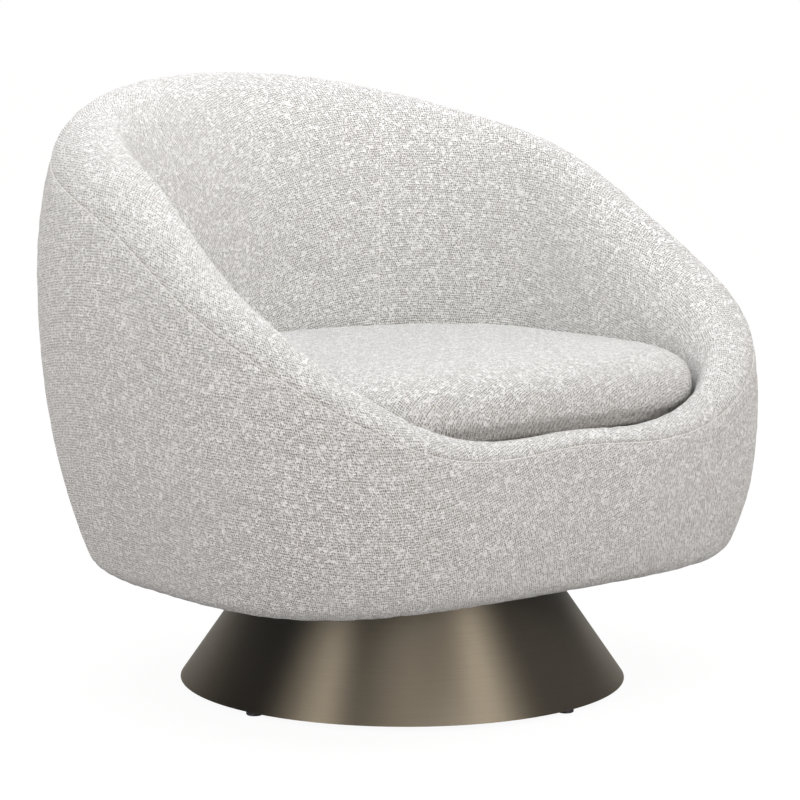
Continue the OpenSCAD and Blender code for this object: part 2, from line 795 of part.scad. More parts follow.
module front_band_cover() {
    color("#d8d4cc")
        panel(outer_stations, -front_columns, front_columns);
}
module outer_cover() {
    color("#d3cfc7")
        panel(outer_stations, front_columns, all_columns - front_columns);
}
module front_lip_cover() {
    color("#dedbd4")
        panel(rim_stations, -front_columns, front_columns);
}
module right_inside_cover() {
    color("#dad7d0")
        panel(rim_stations, front_columns, half_columns - back_columns);
}
module back_inside_cover() {
    color("#dedbd4")
        panel(rim_stations, half_columns - back_columns, half_columns + back_columns);
}
module left_inside_cover() {
    color("#dad7d0")
        panel(rim_stations, half_columns + back_columns, all_columns - front_columns);
}

// Cushion: station 0 is the crown, 1 the widest line and 2 the bottom seam; inset draws it in
function cushion_point(phi, t, inset) =
    let (r = cushion_r(phi) - inset, rise = cushion_h - cushion_mid_h - inset)
    t <= 1 ? let (u = sin(90 * t))
        [r * u, cushion_z + cushion_mid_h + rise * pow(max(0, 1 - pow(u, crown_fall)), 1 / crown_round)]
    : let (v = t - 1) [r * (1 - (1 - cushion_bottom_share) * (1 - cos(90 * v))),
                       cushion_z + cushion_mid_h * (1 - sin(90 * v)) + inset * sin(90 * v)];
// Rings of points of a dome, from the crown down, over all angles
function dome_rings(inset) = [for (t = dome_stations, i = [0:dome_n - 1])
    let (phi = full_turn * i / dome_n) place(phi, cushion_point(phi, t, inset))];
// Faces of the dome whose first point has the index first; turned inside out for a hollow
function dome_faces(first, crown, hollow) =
    let (sides = [for (k = [0:len(dome_stations) - 2], i = [0:dome_n - 1])
             let (a = first + k * dome_n + i, b = first + k * dome_n + (i + 1) % dome_n)
             each [[a, b, b + dome_n], [a, b + dome_n, a + dome_n]]],
         cap = [for (i = [0:dome_n - 1]) [crown, first + (i + 1) % dome_n, first + i]])
    [for (f = concat(sides, cap)) hollow ? [f[0], f[2], f[1]] : f];

// Solid dome with a flat bottom
module dome(inset) {
    crown = dome_points;
    bottom = dome_points + 1;
    floor_z = cushion_point(0, 2, inset)[1];
    under = [for (i = [0:dome_n - 1]) [bottom, last_ring + i, last_ring + (i + 1) % dome_n]];
    polyhedron(points = concat(dome_rings(inset),
                               [[0, 0, cushion_z + cushion_h - inset], [0, 0, floor_z]]),
               faces = concat(dome_faces(0, crown, false), under));
}
// Dome-shaped panel, open below
module dome_panel(t) {
    crown = 2 * dome_points;
    edge = [for (i = [0:dome_n - 1])
        let (a = last_ring + i, b = last_ring + (i + 1) % dome_n, c = b + dome_points, d = a + dome_points)
        each [[a, b, c], [a, c, d]]];
    polyhedron(points = concat(dome_rings(0), dome_rings(t),
                               [[0, 0, cushion_z + cushion_h], [0, 0, cushion_z + cushion_h - t]]),
               faces = concat(dome_faces(0, crown, false), dome_faces(dome_points, crown + 1, true), edge));
}

module cushion_top_panel() {
    color("#e2dfd9")
        dome_panel(panel_t);
}
module cushion_base_panel() {
    color("#d0ccc4")
        slab([for (i = [0:dome_n - 1]) let (phi = full_turn * i / dome_n)
            flat(phi, (cushion_r(phi) - panel_t) * cushion_bottom_share - 2 * lie)], cushion_z, panel_t);
}
module cushion_core() {
    color("khaki")
        dome(panel_t + lie);
}

// The zip runs round the back of the cushion, just above its bottom seam
module cushion_zip() {
    half = zip_w / 2 / (cushion_mid_h * sqrt(2));
    steps = [for (i = [0:dome_n]) let (phi = full_turn * i / dome_n)
        if (phi >= zip_end_angle && phi <= full_turn - zip_end_angle) phi];
    color("gray")
        loft([for (phi = steps) [
            place(phi, cushion_point(phi, zip_station + half, -lie - zip_t)),
            place(phi, cushion_point(phi, zip_station - half, -lie - zip_t)),
            place(phi, cushion_point(phi, zip_station - half, -lie)),
            place(phi, cushion_point(phi, zip_station + half, -lie))]]);
}
module zip_slider() {
    phi = zip_end_angle - slider_turn;
    at = place(phi, cushion_point(phi, zip_station, -slider_gap - slider_size[1] / 2));
    color("silver")
        translate(at)
            rotate(phi)
                cube(slider_size, center = true);
}

base_cone();
base_top_plate();
glide_nuts();
swivel_lower_plate();
ball_cage();
swivel_balls();
swivel_rivet();
base_screws();
base_nuts();
glide_foot(0);  // glide_1_foot
glide_stem(0);  // glide_1_stem
glide_foot(1);  // glide_2_foot
glide_stem(1);  // glide_2_stem
glide_foot(2);  // glide_3_foot
glide_stem(2);  // glide_3_stem
glide_foot(3);  // glide_4_foot
glide_stem(3);  // glide_4_stem
swivel_upper_plate();
riser();
seat_bolts();
tee_nuts();
bottom_board();
rib(1);  // frame_rib_1
rib(2);  // frame_rib_2
rib(3);  // frame_rib_3
rib(4);  // frame_rib_4
rib(5);  // frame_rib_5
rib(6);  // frame_rib_6
rib(7);  // frame_rib_7
rib(8);  // frame_rib_8
rib(9);  // frame_rib_9
rib(10);  // frame_rib_10
rib(11);  // frame_rib_11
rib(12);  // frame_rib_12
frame_top_rail();
seat_ring();
webbing_long();
webbing_cross();
deck_foam();
deck_cloth();
outer_padding();
inside_foam();
dust_cover();
front_band_cover();
outer_cover();
front_lip_cover();
left_inside_cover();
back_inside_cover();
right_inside_cover();
cushion_top_panel();
cushion_base_panel();
cushion_core();
cushion_zip();
zip_slider();
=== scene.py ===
import itertools
import json
import math

import bpy
import numpy as np
from mathutils import Matrix, Vector


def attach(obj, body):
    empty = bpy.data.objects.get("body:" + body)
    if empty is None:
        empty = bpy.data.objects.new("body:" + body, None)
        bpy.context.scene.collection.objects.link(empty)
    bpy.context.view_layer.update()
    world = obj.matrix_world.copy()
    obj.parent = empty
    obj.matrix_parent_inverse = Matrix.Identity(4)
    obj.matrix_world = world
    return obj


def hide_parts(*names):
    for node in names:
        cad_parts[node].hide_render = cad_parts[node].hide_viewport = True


# Swivel armchair: the upholstered shell, its seams, the loose cushion and the brushed cone that it turns on.
# Shapes are worked out in millimetres and radians; angles round the chair start at the front and grow
# towards +X. A profile station runs from -1 at the hem, 0 to 1 round the bottom edge, to 2 up the outer
# wall, to 3 and 4 over the rim and to 5 down the inside to the deck.

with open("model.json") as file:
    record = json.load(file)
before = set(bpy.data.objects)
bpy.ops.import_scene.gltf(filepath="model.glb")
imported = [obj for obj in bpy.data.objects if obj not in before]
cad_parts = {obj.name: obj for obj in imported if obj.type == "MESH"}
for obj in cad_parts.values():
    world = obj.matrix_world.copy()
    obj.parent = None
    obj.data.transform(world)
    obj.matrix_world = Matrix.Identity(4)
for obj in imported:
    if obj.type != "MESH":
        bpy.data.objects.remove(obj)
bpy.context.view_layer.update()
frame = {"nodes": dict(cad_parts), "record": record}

MM = 0.001
TURN = 2 * math.pi

# Shell
HALF_W, HALF_D = 406, 360
FRONT_SQUARE, BACK_SQUARE = 4.1, 2
UNDER_Z, BOTTOM_R = 144, 20
FOOT_Z = UNDER_Z + BOTTOM_R
BELLY_FRONT_Z, BELLY_BACK_Z = 274, 560
TUCK_FRONT, TUCK_BACK = 0.063, 0.196
TUCK_POWER_FRONT, TUCK_POWER_BACK = 2.6, 2.1
LEAN, LEAN_H = 0.24, 300
RIM_Z = np.array([328, 341, 477, 604, 663, 699, 710])
ROLL_OUT_W, ROLL_OUT_H = (20, 60, 66), (15, 52, 40)
ROLL_IN_SHARE, ROLL_IN_H = (0.6, 0.85, 0.8), (14, 140, 230)
HEM_W = 18
WELL_Z = 287.9
DECK_SIDE, DECK_FRONT, DECK_BACK = 290, 318, 165
DECK_FRONT_SQUARE, DECK_BACK_SQUARE = 4.4, 2.2
INNER_SLOPE = 1.6
COVER_T = 3
SEAM_X = 222
BACK_SEAM = math.radians(137)
ROUND = 0.55

# Seams of the cover: how deep and how wide the dip and the dish beside it are, the puckers and the thread
SEAM_DIP, SEAM_DIP_W = 1.35, 2.4
SEAM_DISH, SEAM_DISH_W = 0.45, 8
PUCKER_H, PUCKER_SIZE, PUCKER_W, PUCKER_SEED = 0.30, 17, 12, 11
LOOPS_FADE = 3
STITCH = 4.6
RIM_THREAD_R, PANEL_THREAD_R = 0.75, 0.6
RIM_THREAD_DEPTH, PANEL_THREAD_DEPTH = 1.5, 1.9

# Loops that stand out of the cover: height, size and seed of each layer
LOOPS = ((0.45, 13, 3), (0.38, 6.5, 5))

# Large odd numbers that stir a lattice corner's place and a seed into a random number
NOISE_STEPS, NOISE_SEED_STEP, NOISE_STIR = (374761393, 668265263, 912271), 974634777, 1274126177

# Columns round the shell: over half of the front band, over a side and over half of the back panel
FRONT_COLS, SIDE_COLS, BACK_COLS = 7, 20, 9
HALF_COLS = FRONT_COLS + SIDE_COLS + BACK_COLS
ALL_COLS = 2 * HALF_COLS

# Cushion
CUSHION_SIDE, CUSHION_FRONT, CUSHION_BACK = 286, 320, 160
CUSHION_FRONT_SQUARE, CUSHION_BACK_SQUARE = 5.4, 2.2
CUSHION_Z, CUSHION_H, CUSHION_MID_H = 310, 99, 36
CROWN_FALL, CROWN_ROUND = 10, 2.8
CUSHION_BOTTOM_SHARE = 0.9
CUSHION_INSET, CUSHION_EASE = 10.0, 0.5
CUSHION_SLACK = 0.3
UNDERSIDE_H = 22
WRAP_FROM, WRAP_EDGE, WRAP_CROWN = 0.6, 0.75, 0.2

# Cushion's cloth simulation: squares' size, how far a point may move, frames, pressure, quality, held strip
CUSHION_GRAIN = 6
SWELL_CAP = 3.5
SWELL_FRAMES, SWELL_PRESSURE, SWELL_QUALITY = 20, 4, 6
PINNED_H = 3

# Zip's end: its angle and station on the cushion, how far before it and how far out the slider stands
ZIP_END = math.radians(42)
ZIP_STATION = 1.58
SLIDER_BACK = math.radians(0.45)
SLIDER_OUT = 1.5
SLIDER_SQUARE = 0.7

# Cloths that lie under the cushion and under the seat
LINING_Z, LINING_T, LINING_GAP = 308.2, 1.3, 0.8
LINING_EDGE_Z = 309
DUST_Z, DUST_T, DUST_GAP, DUST_HOLE = 145.6, 0.9, 1.5, 131
CLOTH_WAVE, CLOTH_WAVE_SIZE, CLOTH_SEED = 0.25, 60, 21
CLOTH_DRAW, CLOTH_DRAWS = 0.3, 60

# Base
SWIVEL_Y = -57
BASE_R, BASE_TOP_R, BASE_Z, FOOT_GAP = 263, 170, 140, 6
SHEET_T, FLANGE_W, FLANGE_T = 2.4, 27, 2

# Camera: azimuth, elevation and roll in degrees, distance and aim in metres, the lens in millimetres and in
# pixels of a picture 800 pixels wide
CAMERA_ANGLES = (-41.046, 7.556, 0.230)
CAMERA_AWAY, CAMERA_AIM_Z = 3.3, 0.33
SENSOR_W = 36
PICTURE, FOCUS = 800, 2812.5
MIDDLE_X, MIDDLE_Y = 403.385, 402.408


# Shader arithmetic

class Reading:
    """A value that varies over a surface. It wraps a node's socket, and arithmetic on it adds Math nodes."""

    def __init__(self, nodes, socket):
        self.nodes, self.socket = nodes, socket

    def join(self, operation, first, second):
        return self.nodes.add("Math", {"operation": operation}, {0: first, 1: second})

    def __add__(self, other):
        return self.join("ADD", self, other)

    def __sub__(self, other):
        return self.join("SUBTRACT", self, other)

    def __rsub__(self, other):
        return self.join("SUBTRACT", other, self)

    def __mul__(self, other):
        return self.join("MULTIPLY", self, other)

    __radd__ = __add__
    __rmul__ = __mul__


class Nodes:
    """The node tree of a material or of the world, with one method that adds any node."""

    def __init__(self, owner):
        owner.use_nodes = True
        self.owner, self.tree = owner, owner.node_tree
        self.tree.nodes.clear()

    def add(self, kind, settings=(), inputs=(), output=0):
        """Adds a node of a type, sets its settings, then the values or links of its sockets."""
        made = self.tree.nodes.new("ShaderNode" + kind)
        for key, value in dict(settings).items():
            if key == "stops":
                ramp = made.color_ramp.elements
                while len(ramp) < len(value):
                    ramp.new(0.5)
                for stop, (share, colour) in zip(ramp, value):
                    stop.position, stop.color = share, colour
            else:
                setattr(made, key, value)
        for key, value in dict(inputs).items():
            if isinstance(value, Reading):
                self.tree.links.new(value.socket, made.inputs[key])
            else:
                made.inputs[key].default_value = value
        return Reading(self, made.outputs[output]) if len(made.outputs) else made

    def mix(self, share, first, second):
        """Colour between two colours, by a share."""
        return self.add("Mix", {"data_type": "RGBA"}, {0: share, 6: first, 7: second}, 2)

    def noise(self, at, scale, detail, distortion=0.0, output=0):
        """Noise with a number of clumps for each metre."""
        inputs = {"Vector": at, "Scale": scale, "Detail": detail, "Distortion": distortion}
        return self.add("TexNoise", {}, inputs, output)

    def wave(self, value, pitch, kind="SINE"):
        """Sine or cosine of a value, with a pitch in the value's own unit."""
        return self.add("Math", {"operation": kind}, {0: value * (TURN / pitch)})

    def ray(self, kind):
        """Share of a kind of ray."""
        return self.add("LightPath", {}, {}, kind)

    def step(self, value, low, high, to_low=0.0, to_high=1.0):
        """Soft step of a value from low to high."""
        inputs = {"Value": value, "From Min": low, "From Max": high, "To Min": to_low, "To Max": to_high}
        return self.add("MapRange", {"interpolation_type": "SMOOTHSTEP"}, inputs)

    def stretch(self, at, scale):
        """Places scaled along X, Y and Z."""
        return self.add("Mapping", {}, {"Vector": at, "Scale": scale})

    def place(self):
        """Places on the piece in its object's coordinates."""
        return self.add("TexCoord", {}, {}, "Object")

    def split(self, vector):
        """The parts of a vector along X, Y and Z."""
        first = self.add("SeparateXYZ", {}, {0: vector})
        return [Reading(self, part) for part in first.socket.node.outputs]

    def surface(self, colour, roughness, height, depth, **constants):
        """Ends the material: a Principled surface with a bump of a depth in metres. The other sockets are
        constants."""
        inputs = {"Base Color": colour, "Roughness": roughness}
        inputs.update({key.replace("_", " "): value for key, value in constants.items()})
        inputs["Normal"] = self.add("Bump", {}, {"Height": height, "Distance": depth, "Strength": 1.0})
        self.add("OutputMaterial", {}, {"Surface": self.add("BsdfPrincipled", {}, inputs)})
        return self.owner


def tone(red, green, blue):
    """Linear colour from the three 0 to 255 values that a screen shows."""
    linear = [((c / 255 + 0.055) / 1.055) ** 2.4 for c in (red, green, blue)]
    return (*linear, 1.0)


def blank(name):
    """The node tree of a new material."""
    return Nodes(bpy.data.materials.new(name))


# Finishes

def boucle_finish():
    """Weave of yarns 2.8 mm apart, slanted by 22 degrees, that wander by up to 1.5 mm. Loops of about 4 mm
    are lighter and stand up over it, and fuzz breaks both up. The gaps between the yarns are painted warm
    grey as painted shade in their hollows."""
    pick, slant, drift = 0.0028, math.radians(22), 0.0030
    n = blank("cream_boucle")
    at = n.place()
    cloth = n.add("UVMap", {"uv_map": "weave"}, {}, "UV")
    wander = n.noise(at, 170, 2, output="Color")
    cloth = n.add("VectorMath", {"operation": "MULTIPLY_ADD"}, {0: wander, 1: (drift, drift, 0), 2: cloth})
    across, along, _ = n.split(cloth)
    warp = n.wave(across * math.cos(slant) + along * math.sin(slant), pick, "COSINE")
    weft = n.wave(along * math.cos(slant) - across * math.sin(slant), pick, "COSINE")
    ticks = (warp - weft) * 0.25 + 0.5
    fuzz = n.noise(at, 640, 2)
    loops = n.step(n.noise(at, 260, 1.5, 1.2), 0.42, 0.60)
    clumps = n.noise(at, 34, 2)
    # Painted shade: the tick pattern paints the gaps between the yarns darker, less so where loops stand
    # over them.
    weave_with_painted_gap_shade = (ticks - 0.5) * (0.85 - loops * 0.35)
    light = weave_with_painted_gap_shade + (loops - 0.45) * 0.36 + (fuzz - 0.5) * 1.0 + (clumps - 0.5) * 0.05 + 0.60
    # The ramp's warm grey low end is painted shade in the gaps, warm as light bounced between fibres would
    # be.
    stops = [(0.0, tone(152, 145, 137)), (0.5, tone(226, 224, 220)), (1.0, tone(254, 254, 253))]
    colour = n.add("ValToRGB", {"stops": stops}, {0: light})
    height = ticks * (0.8 - loops * 0.4) + loops * 0.9 + fuzz * 0.5
    soft = {"Sheen_Weight": 0.15, "Sheen_Roughness": 0.5, "Specular_IOR_Level": 0.15}
    return n.surface(colour, 0.95, height, 0.0017, **soft)


def thread_finish():
    """Sewing thread, its cream lightened to near white as a painted highlight along the seams. A fine grain
    lightens and roughens it.
    """
    n = blank("cream_thread_painted_highlight")
    fine = n.noise(n.place(), 900, 2)
    # Painted highlight: both tones are near white and lighter than the cover, so the sewn line reads as lit.
    colour = n.mix(fine, tone(238, 236, 231), tone(254, 253, 250))
    return n.surface(colour, 0.8, fine, 0.0002, Sheen_Weight=0.2)


def bronze_finish():
    """Dark bronze sheet, brushed round the cone: hair lines run level, slow clouds vary the tone."""
    n = blank("brushed_bronze")
    at = n.place()
    hair = n.noise(n.stretch(at, (9, 9, 1500)), 1.0, 3)
    hair_fine = n.noise(n.stretch(at, (40, 40, 4200)), 1.0, 2)
    clouds = n.noise(at, 7, 3)
    shade = hair * 0.45 + hair_fine * 0.25 + clouds * 0.3
    colour = n.mix(n.step(shade, 0.3, 0.7), tone(149, 140, 127), tone(160, 151, 138))
    rough = 0.44 + hair * 0.10 + clouds * 0.06
    brushed = {"Metallic": 1.0, "Anisotropic": 1.0, "Anisotropic_Rotation": 0.25}
    return n.surface(colour, rough, hair * 0.6 + hair_fine * 0.4, 0.00003, **brushed)


def painted_steel_finish():
    """Black powder coat: fine orange peel."""
    n = blank("black_powder_coat")
    peel = n.noise(n.place(), 480, 2)
    return n.surface(n.mix(peel, tone(30, 30, 31), tone(44, 44, 45)), 0.5 + peel * 0.15, peel, 0.0002)


def zinc_finish():
    """Zinc plate: bluish and yellowish clouds, fine turning marks."""
    n = blank("zinc_plate")
    at = n.place()
    clouds = n.noise(at, 90, 3)
    marks = n.noise(n.stretch(at, (300, 300, 2600)), 1.0, 2)
    colour = n.mix(clouds, tone(176, 178, 182), tone(196, 192, 180))
    return n.surface(colour, 0.28 + marks * 0.15, marks, 0.00005, Metallic=1.0)


def plastic_finish(name, dark, light, rough):
    """Moulded plastic: fine grain, slow change of tone."""
    n = blank(name)
    at = n.place()
    grain = n.noise(at, 900, 2)
    slow = n.noise(at, 60, 2)
    return n.surface(n.mix(slow, dark, light), rough + grain * 0.12, grain, 0.00008)


def plywood_finish():
    """Plywood: long figure along X on the faces, dark and light plies of 1.5 mm in the edges, pores."""
    n = blank("birch_plywood")
    at = n.place()
    figure = n.noise(n.stretch(at, (5, 60, 60)), 1.0, 4, 1.2)
    pores = n.step(n.noise(n.stretch(at, (60, 900, 900)), 1.0, 2), 0.6, 0.72)
    plies = n.wave(n.split(at)[2], 0.003) * 0.5 + 0.5
    face = n.mix(figure, tone(196, 163, 118), tone(224, 198, 156))
    colour = n.mix(plies * 0.22 + pores * 0.3, face, tone(138, 104, 68))
    return n.surface(colour, 0.62 + pores * 0.2, figure * 0.5 - pores, 0.0002)


def webbing_finish():
    """Elastic webbing: ribs of 2 mm with a darker line every 12 mm."""
    n = blank("elastic_webbing")
    x, y, _ = n.split(n.place())
    ribs = n.wave(x, 0.002) * n.wave(y, 0.002) * 0.5 + 0.5
    lines = n.step(n.wave(x + y, 0.012), 0.8, 0.95)
    colour = n.mix(lines * 0.6 + ribs * 0.3, tone(150, 144, 134), tone(74, 68, 62))
    return n.surface(colour, 0.85, ribs, 0.0003)


def foam_finish():
    """Cut foam: open cells of about 1.5 mm."""
    n = blank("cut_foam")
    at = n.place()
    cells = n.add("TexVoronoi", {}, {"Vector": at, "Scale": 650}, "Distance")
    slow = n.noise(at, 12, 2)
    colour = n.mix(cells * 0.5 + slow * 0.4, tone(232, 222, 188), tone(186, 170, 126))
    return n.surface(colour, 0.95, cells, 0.0004)


def cloth_finish(name, dark, light, pitch):
    """Thin lining cloth: plain weave seen by its object's X and Y, with slubs."""
    n = blank(name)
    at = n.place()
    x, y, _ = n.split(at)
    weave = n.wave(x, pitch) * n.wave(y, pitch) * 0.5 + 0.5
    slubs = n.noise(n.stretch(at, (30, 400, 30)), 1.0, 2)
    colour = n.mix(weave * 0.5 + slubs * 0.5, dark, light)
    return n.surface(colour, 0.9, weave + slubs, 0.0002, Sheen_Weight=0.1)


def coil_finish():
    """Coil zip on tape: teeth of 1.5 mm across the tape."""
    n = blank("coil_zip")
    x, y, _ = n.split(n.place())
    teeth = n.wave(x + y, 0.003) * 0.5 + 0.5
    return n.surface(n.mix(teeth, tone(176, 170, 160), tone(220, 216, 206)), 0.6, teeth, 0.0004)


# Finish of each material slot, and of the thread
FINISH = {
    "boucle": boucle_finish(),
    "thread": thread_finish(),
    "bronze_sheet": bronze_finish(),
    "dark_steel": painted_steel_finish(),
    "zinc_steel": zinc_finish(),
    "nylon": plastic_finish("natural_nylon", tone(214, 208, 192), tone(232, 228, 216), 0.42),
    "glide_plastic": plastic_finish("dark_glide_plastic", tone(46, 43, 52), tone(66, 62, 76), 0.5),
    "plywood": plywood_finish(),
    "webbing": webbing_finish(),
    "foam": foam_finish(),
    "black_cloth": cloth_finish("black_dust_cloth", tone(22, 22, 23), tone(48, 48, 50), 0.0012),
    "deck_cloth": cloth_finish("grey_lining", tone(150, 145, 137), tone(190, 186, 178), 0.0011),
    "zip_tape": coil_finish(),
    "zip_metal": plastic_finish("cream_zip_slider", tone(206, 202, 194), tone(232, 229, 222), 0.35),
}


# Meshes

def piece(name, points, faces, finish, body, uv=None, replaces=()):
    """One finished piece, from points in millimetres, arrays of faces and a UV in metres for each point. The
    faces of one array have the same number of corners. The piece rides on its body and stands for its CAD
    nodes."""
    mesh = bpy.data.meshes.new(name)
    loops = np.concatenate([np.asarray(f).ravel() for f in faces]).astype(np.int32)
    sizes = np.concatenate([np.full(len(f), np.asarray(f).shape[1]) for f in faces]).astype(np.int32)
    mesh.vertices.add(len(points))
    mesh.vertices.foreach_set("co", (np.asarray(points) * MM).astype(np.float32).ravel())
    mesh.loops.add(len(loops))
    mesh.loops.foreach_set("vertex_index", loops)
    mesh.polygons.add(len(sizes))
    mesh.polygons.foreach_set("loop_start", np.concatenate([[0], np.cumsum(sizes)[:-1]]).astype(np.int32))
    mesh.update(calc_edges=True)
    mesh.validate()
    mesh.shade_smooth()
    if uv is not None:
        layer = mesh.uv_layers.new(name="weave")
        layer.data.foreach_set("uv", np.asarray(uv, np.float32)[loops].ravel())
    made = bpy.data.objects.new(name, mesh)
    bpy.context.scene.collection.objects.link(made)
    mesh.materials.append(finish)
    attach(made, body)
    if replaces:
        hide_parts(*replaces)
    return made


def quads(rows, cols, first=0, close_rows=False, close_cols=False):
    """Four-cornered faces of a grid of points whose columns run fastest. Either way may close."""
    i = np.arange(rows if close_rows else rows - 1)
    j = np.arange(cols if close_cols else cols - 1)
    i, j = (v.ravel() for v in np.meshgrid(i, j, indexing="ij"))
    i2, j2 = (i + 1) % rows, (j + 1) % cols
    return first + np.stack([i * cols + j, i2 * cols + j, i2 * cols + j2, i * cols + j2], axis=1)


def mix(a, b, share):
    """Value at a share of the way from a to b."""
    return a + (b - a) * share


def unit(vectors):
    """Vectors brought to a length of one."""
    return vectors / np.maximum(np.linalg.norm(vectors, axis=-1, keepdims=True), 1e-9)


def lattice_noise(points, size, seed):
    """Random heights from -1 to 1 at the corners of a cubic lattice, joined smoothly in between."""
    cell = np.asarray(points) / size
    low = np.floor(cell).astype(np.int64)
    t = cell - low
    t = t * t * (3 - 2 * t)
    total = np.zeros(cell.shape[:-1])
    for corner in itertools.product((0, 1), repeat=3):
        at = low + np.array(corner)
        key = at @ np.array(NOISE_STEPS) + seed * NOISE_SEED_STEP
        key = (key ^ (key >> 13)) * NOISE_STIR
        key = (key ^ (key >> 16)) & 0xFFFFFF
        share = np.prod(np.where(np.array(corner) == 1, t, 1 - t), axis=-1)
        total += share * (key / 0x7FFFFF - 1)
    return total


def loops_relief(points):
    """Height of the cover's loops in millimetres: the sum of two lattice noises."""
    return sum(height * lattice_noise(points, size, seed) for height, size, seed in LOOPS)


# Shell surface

def backness(phi):
    """0 at the front, 1 at the back, along a cosine."""
    return (1 - np.cos(phi)) / 2


def around(values, phi):
    """Smooth value round the chair through its front, side and back values."""
    front, side, back = values
    c = np.cos(phi)
    return side + (front - back) / 2 * c + ((front + back) / 2 - side) * c * c


def outline(phi, side, front, back, front_square, back_square):
    """Radius of a plan whose front and back halves are superellipses."""
    c, s = np.cos(phi), np.abs(np.sin(phi))
    n = np.where(c > 0, front_square, back_square)
    reach = np.where(c > 0, front, back)
    return ((s / side) ** n + (np.abs(c) / reach) ** n) ** (-1 / n)


def plan_r(phi):
    """Radius of the shell where it is widest."""
    return outline(phi, HALF_W, HALF_D, HALF_D, FRONT_SQUARE, BACK_SQUARE)


def deck_r(phi):
    """Radius of the inside at the foot of the well."""
    return outline(phi, DECK_SIDE, DECK_FRONT, DECK_BACK, DECK_FRONT_SQUARE, DECK_BACK_SQUARE)


def cushion_r(phi):
    """Radius of the cushion's widest line."""
    return outline(phi, CUSHION_SIDE, CUSHION_FRONT, CUSHION_BACK, CUSHION_FRONT_SQUARE, CUSHION_BACK_SQUARE)


def crest_z(phi):
    """Rim height: a cubic through the seven heights that stand 30 degrees apart, level at front and back."""
    fold = np.abs((phi + math.pi) % TURN - math.pi)
    a = fold / math.radians(30)
    i = np.minimum(a.astype(int), 5)
    t = a - i
    at = np.concatenate([[RIM_Z[1]], RIM_Z, [RIM_Z[5]]])
    before, p, q, after = at[i], at[i + 1], at[i + 2], at[i + 3]
    slope_p, slope_q = (q - before) / 2, (after - p) / 2
    near_p = (2 * t**3 - 3 * t**2 + 1) * p + (t**3 - 2 * t**2 + t) * slope_p
    return near_p + (3 * t**2 - 2 * t**3) * q + (t**3 - t**2) * slope_q


def wall_r(phi, z):
    """Radius of the outer wall at a height: it draws in below its widest height and leans in above it."""
    back = backness(phi)
    widest = mix(BELLY_FRONT_Z, BELLY_BACK_Z, back)
    low = np.maximum(0, (widest - z) / (widest - UNDER_Z))
    high = np.maximum(0, (z - widest) / LEAN_H)
    tuck = mix(TUCK_FRONT, TUCK_BACK, back) * low ** mix(TUCK_POWER_FRONT, TUCK_POWER_BACK, back)
    return plan_r(phi) * (1 - tuck - LEAN * high * high)


def bezier(a, b, c, d, t):
    """Cubic curve from a towards b, and from c to d; points hold radius and height."""
    t = t[..., None]
    return (1 - t) ** 3 * a + 3 * t * (1 - t) ** 2 * b + 3 * t * t * (1 - t) * c + t**3 * d


def pair(radius, height):
    """Radius and height side by side, as rows."""
    radius, height = np.broadcast_arrays(radius, height)
    return np.stack([radius, height], axis=-1).astype(float)


def inner_roll_r(phi):
    """Radius at the foot of the inner roll: a share of the way from the top of the rim to the deck."""
    crown_r = wall_r(phi, crest_z(phi) - around(ROLL_OUT_H, phi)) - around(ROLL_OUT_W, phi)
    return mix(crown_r, deck_r(phi), around(ROLL_IN_SHARE, phi))


def wall_foot(phi):
    """Radius at the foot of the outer wall, how far the wall leans out for each millimetre up, and the
    radius at which the bottom edge, rounded by BOTTOM_R, meets the underside."""
    foot_r = wall_r(phi, FOOT_Z)
    lean = wall_r(phi, FOOT_Z + 1) - foot_r
    return foot_r, lean, foot_r - BOTTOM_R * (lean + np.hypot(1, lean))


def profile(phi, s):
    """Radius and height of the shell at an angle and a station: a level hem, a rounded bottom edge, the
    wall, the outer and the inner roll of the rim as cubic curves, and the inside, whose radius goes to the
    deck's as a power of the way down."""
    phi, s = np.broadcast_arrays(np.asarray(phi, float), np.asarray(s, float))
    foot_r, lean, edge_r = wall_foot(phi)
    hem = pair(edge_r + HEM_W * s, UNDER_Z)
    reach = BOTTOM_R * ROUND
    low, high = pair(edge_r, UNDER_Z), pair(foot_r, FOOT_Z)
    low_pull, high_pull = pair(reach * np.hypot(1, lean), 0), pair(reach * lean, reach)
    edge = bezier(low, low + low_pull, high - high_pull, high, np.clip(s, 0, 1))
    top = crest_z(phi)
    out_w, out_h, in_h = around(ROLL_OUT_W, phi), around(ROLL_OUT_H, phi), around(ROLL_IN_H, phi)
    seam_z = top - out_h
    wall_z = mix(FOOT_Z, seam_z, np.clip(s - 1, 0, 1))
    wall = pair(wall_r(phi, wall_z), wall_z)
    seam_r = wall_r(phi, seam_z)
    lean = wall_r(phi, seam_z - 1) - seam_r
    in_w = seam_r - out_w - inner_roll_r(phi)
    seam, crown = pair(seam_r, seam_z), pair(seam_r - out_w, top)
    inner = pair(seam_r - out_w - in_w, top - in_h)
    seam_pull, crown_pull = pair(-lean * out_h * ROUND, out_h * ROUND), pair(out_w * ROUND, 0)
    roll_out = bezier(seam, seam + seam_pull, crown + crown_pull, crown, np.clip(s - 2, 0, 1))
    crown_pull, inner_pull = pair(in_w * ROUND, 0), pair(0, in_h * ROUND)
    roll_in = bezier(crown, crown - crown_pull, inner + inner_pull, inner, np.clip(s - 3, 0, 1))
    down = np.clip(s - 4, 0, 1.2)
    inside = pair(mix(inner[..., 0], deck_r(phi), down**INNER_SLOPE), mix(inner[..., 1], WELL_Z, down))
    s = s[..., None]
    return np.select([s < 0, s < 1, s < 2, s < 3, s < 4], [hem, edge, wall, roll_out, roll_in], inside)


def place(phi, p):
    """Point in space from an angle, and radius and height."""
    radius, height, phi = np.broadcast_arrays(p[..., 0], p[..., 1], phi)
    return np.stack([radius * np.sin(phi), -radius * np.cos(phi), height], axis=-1)


# Cover and its seams

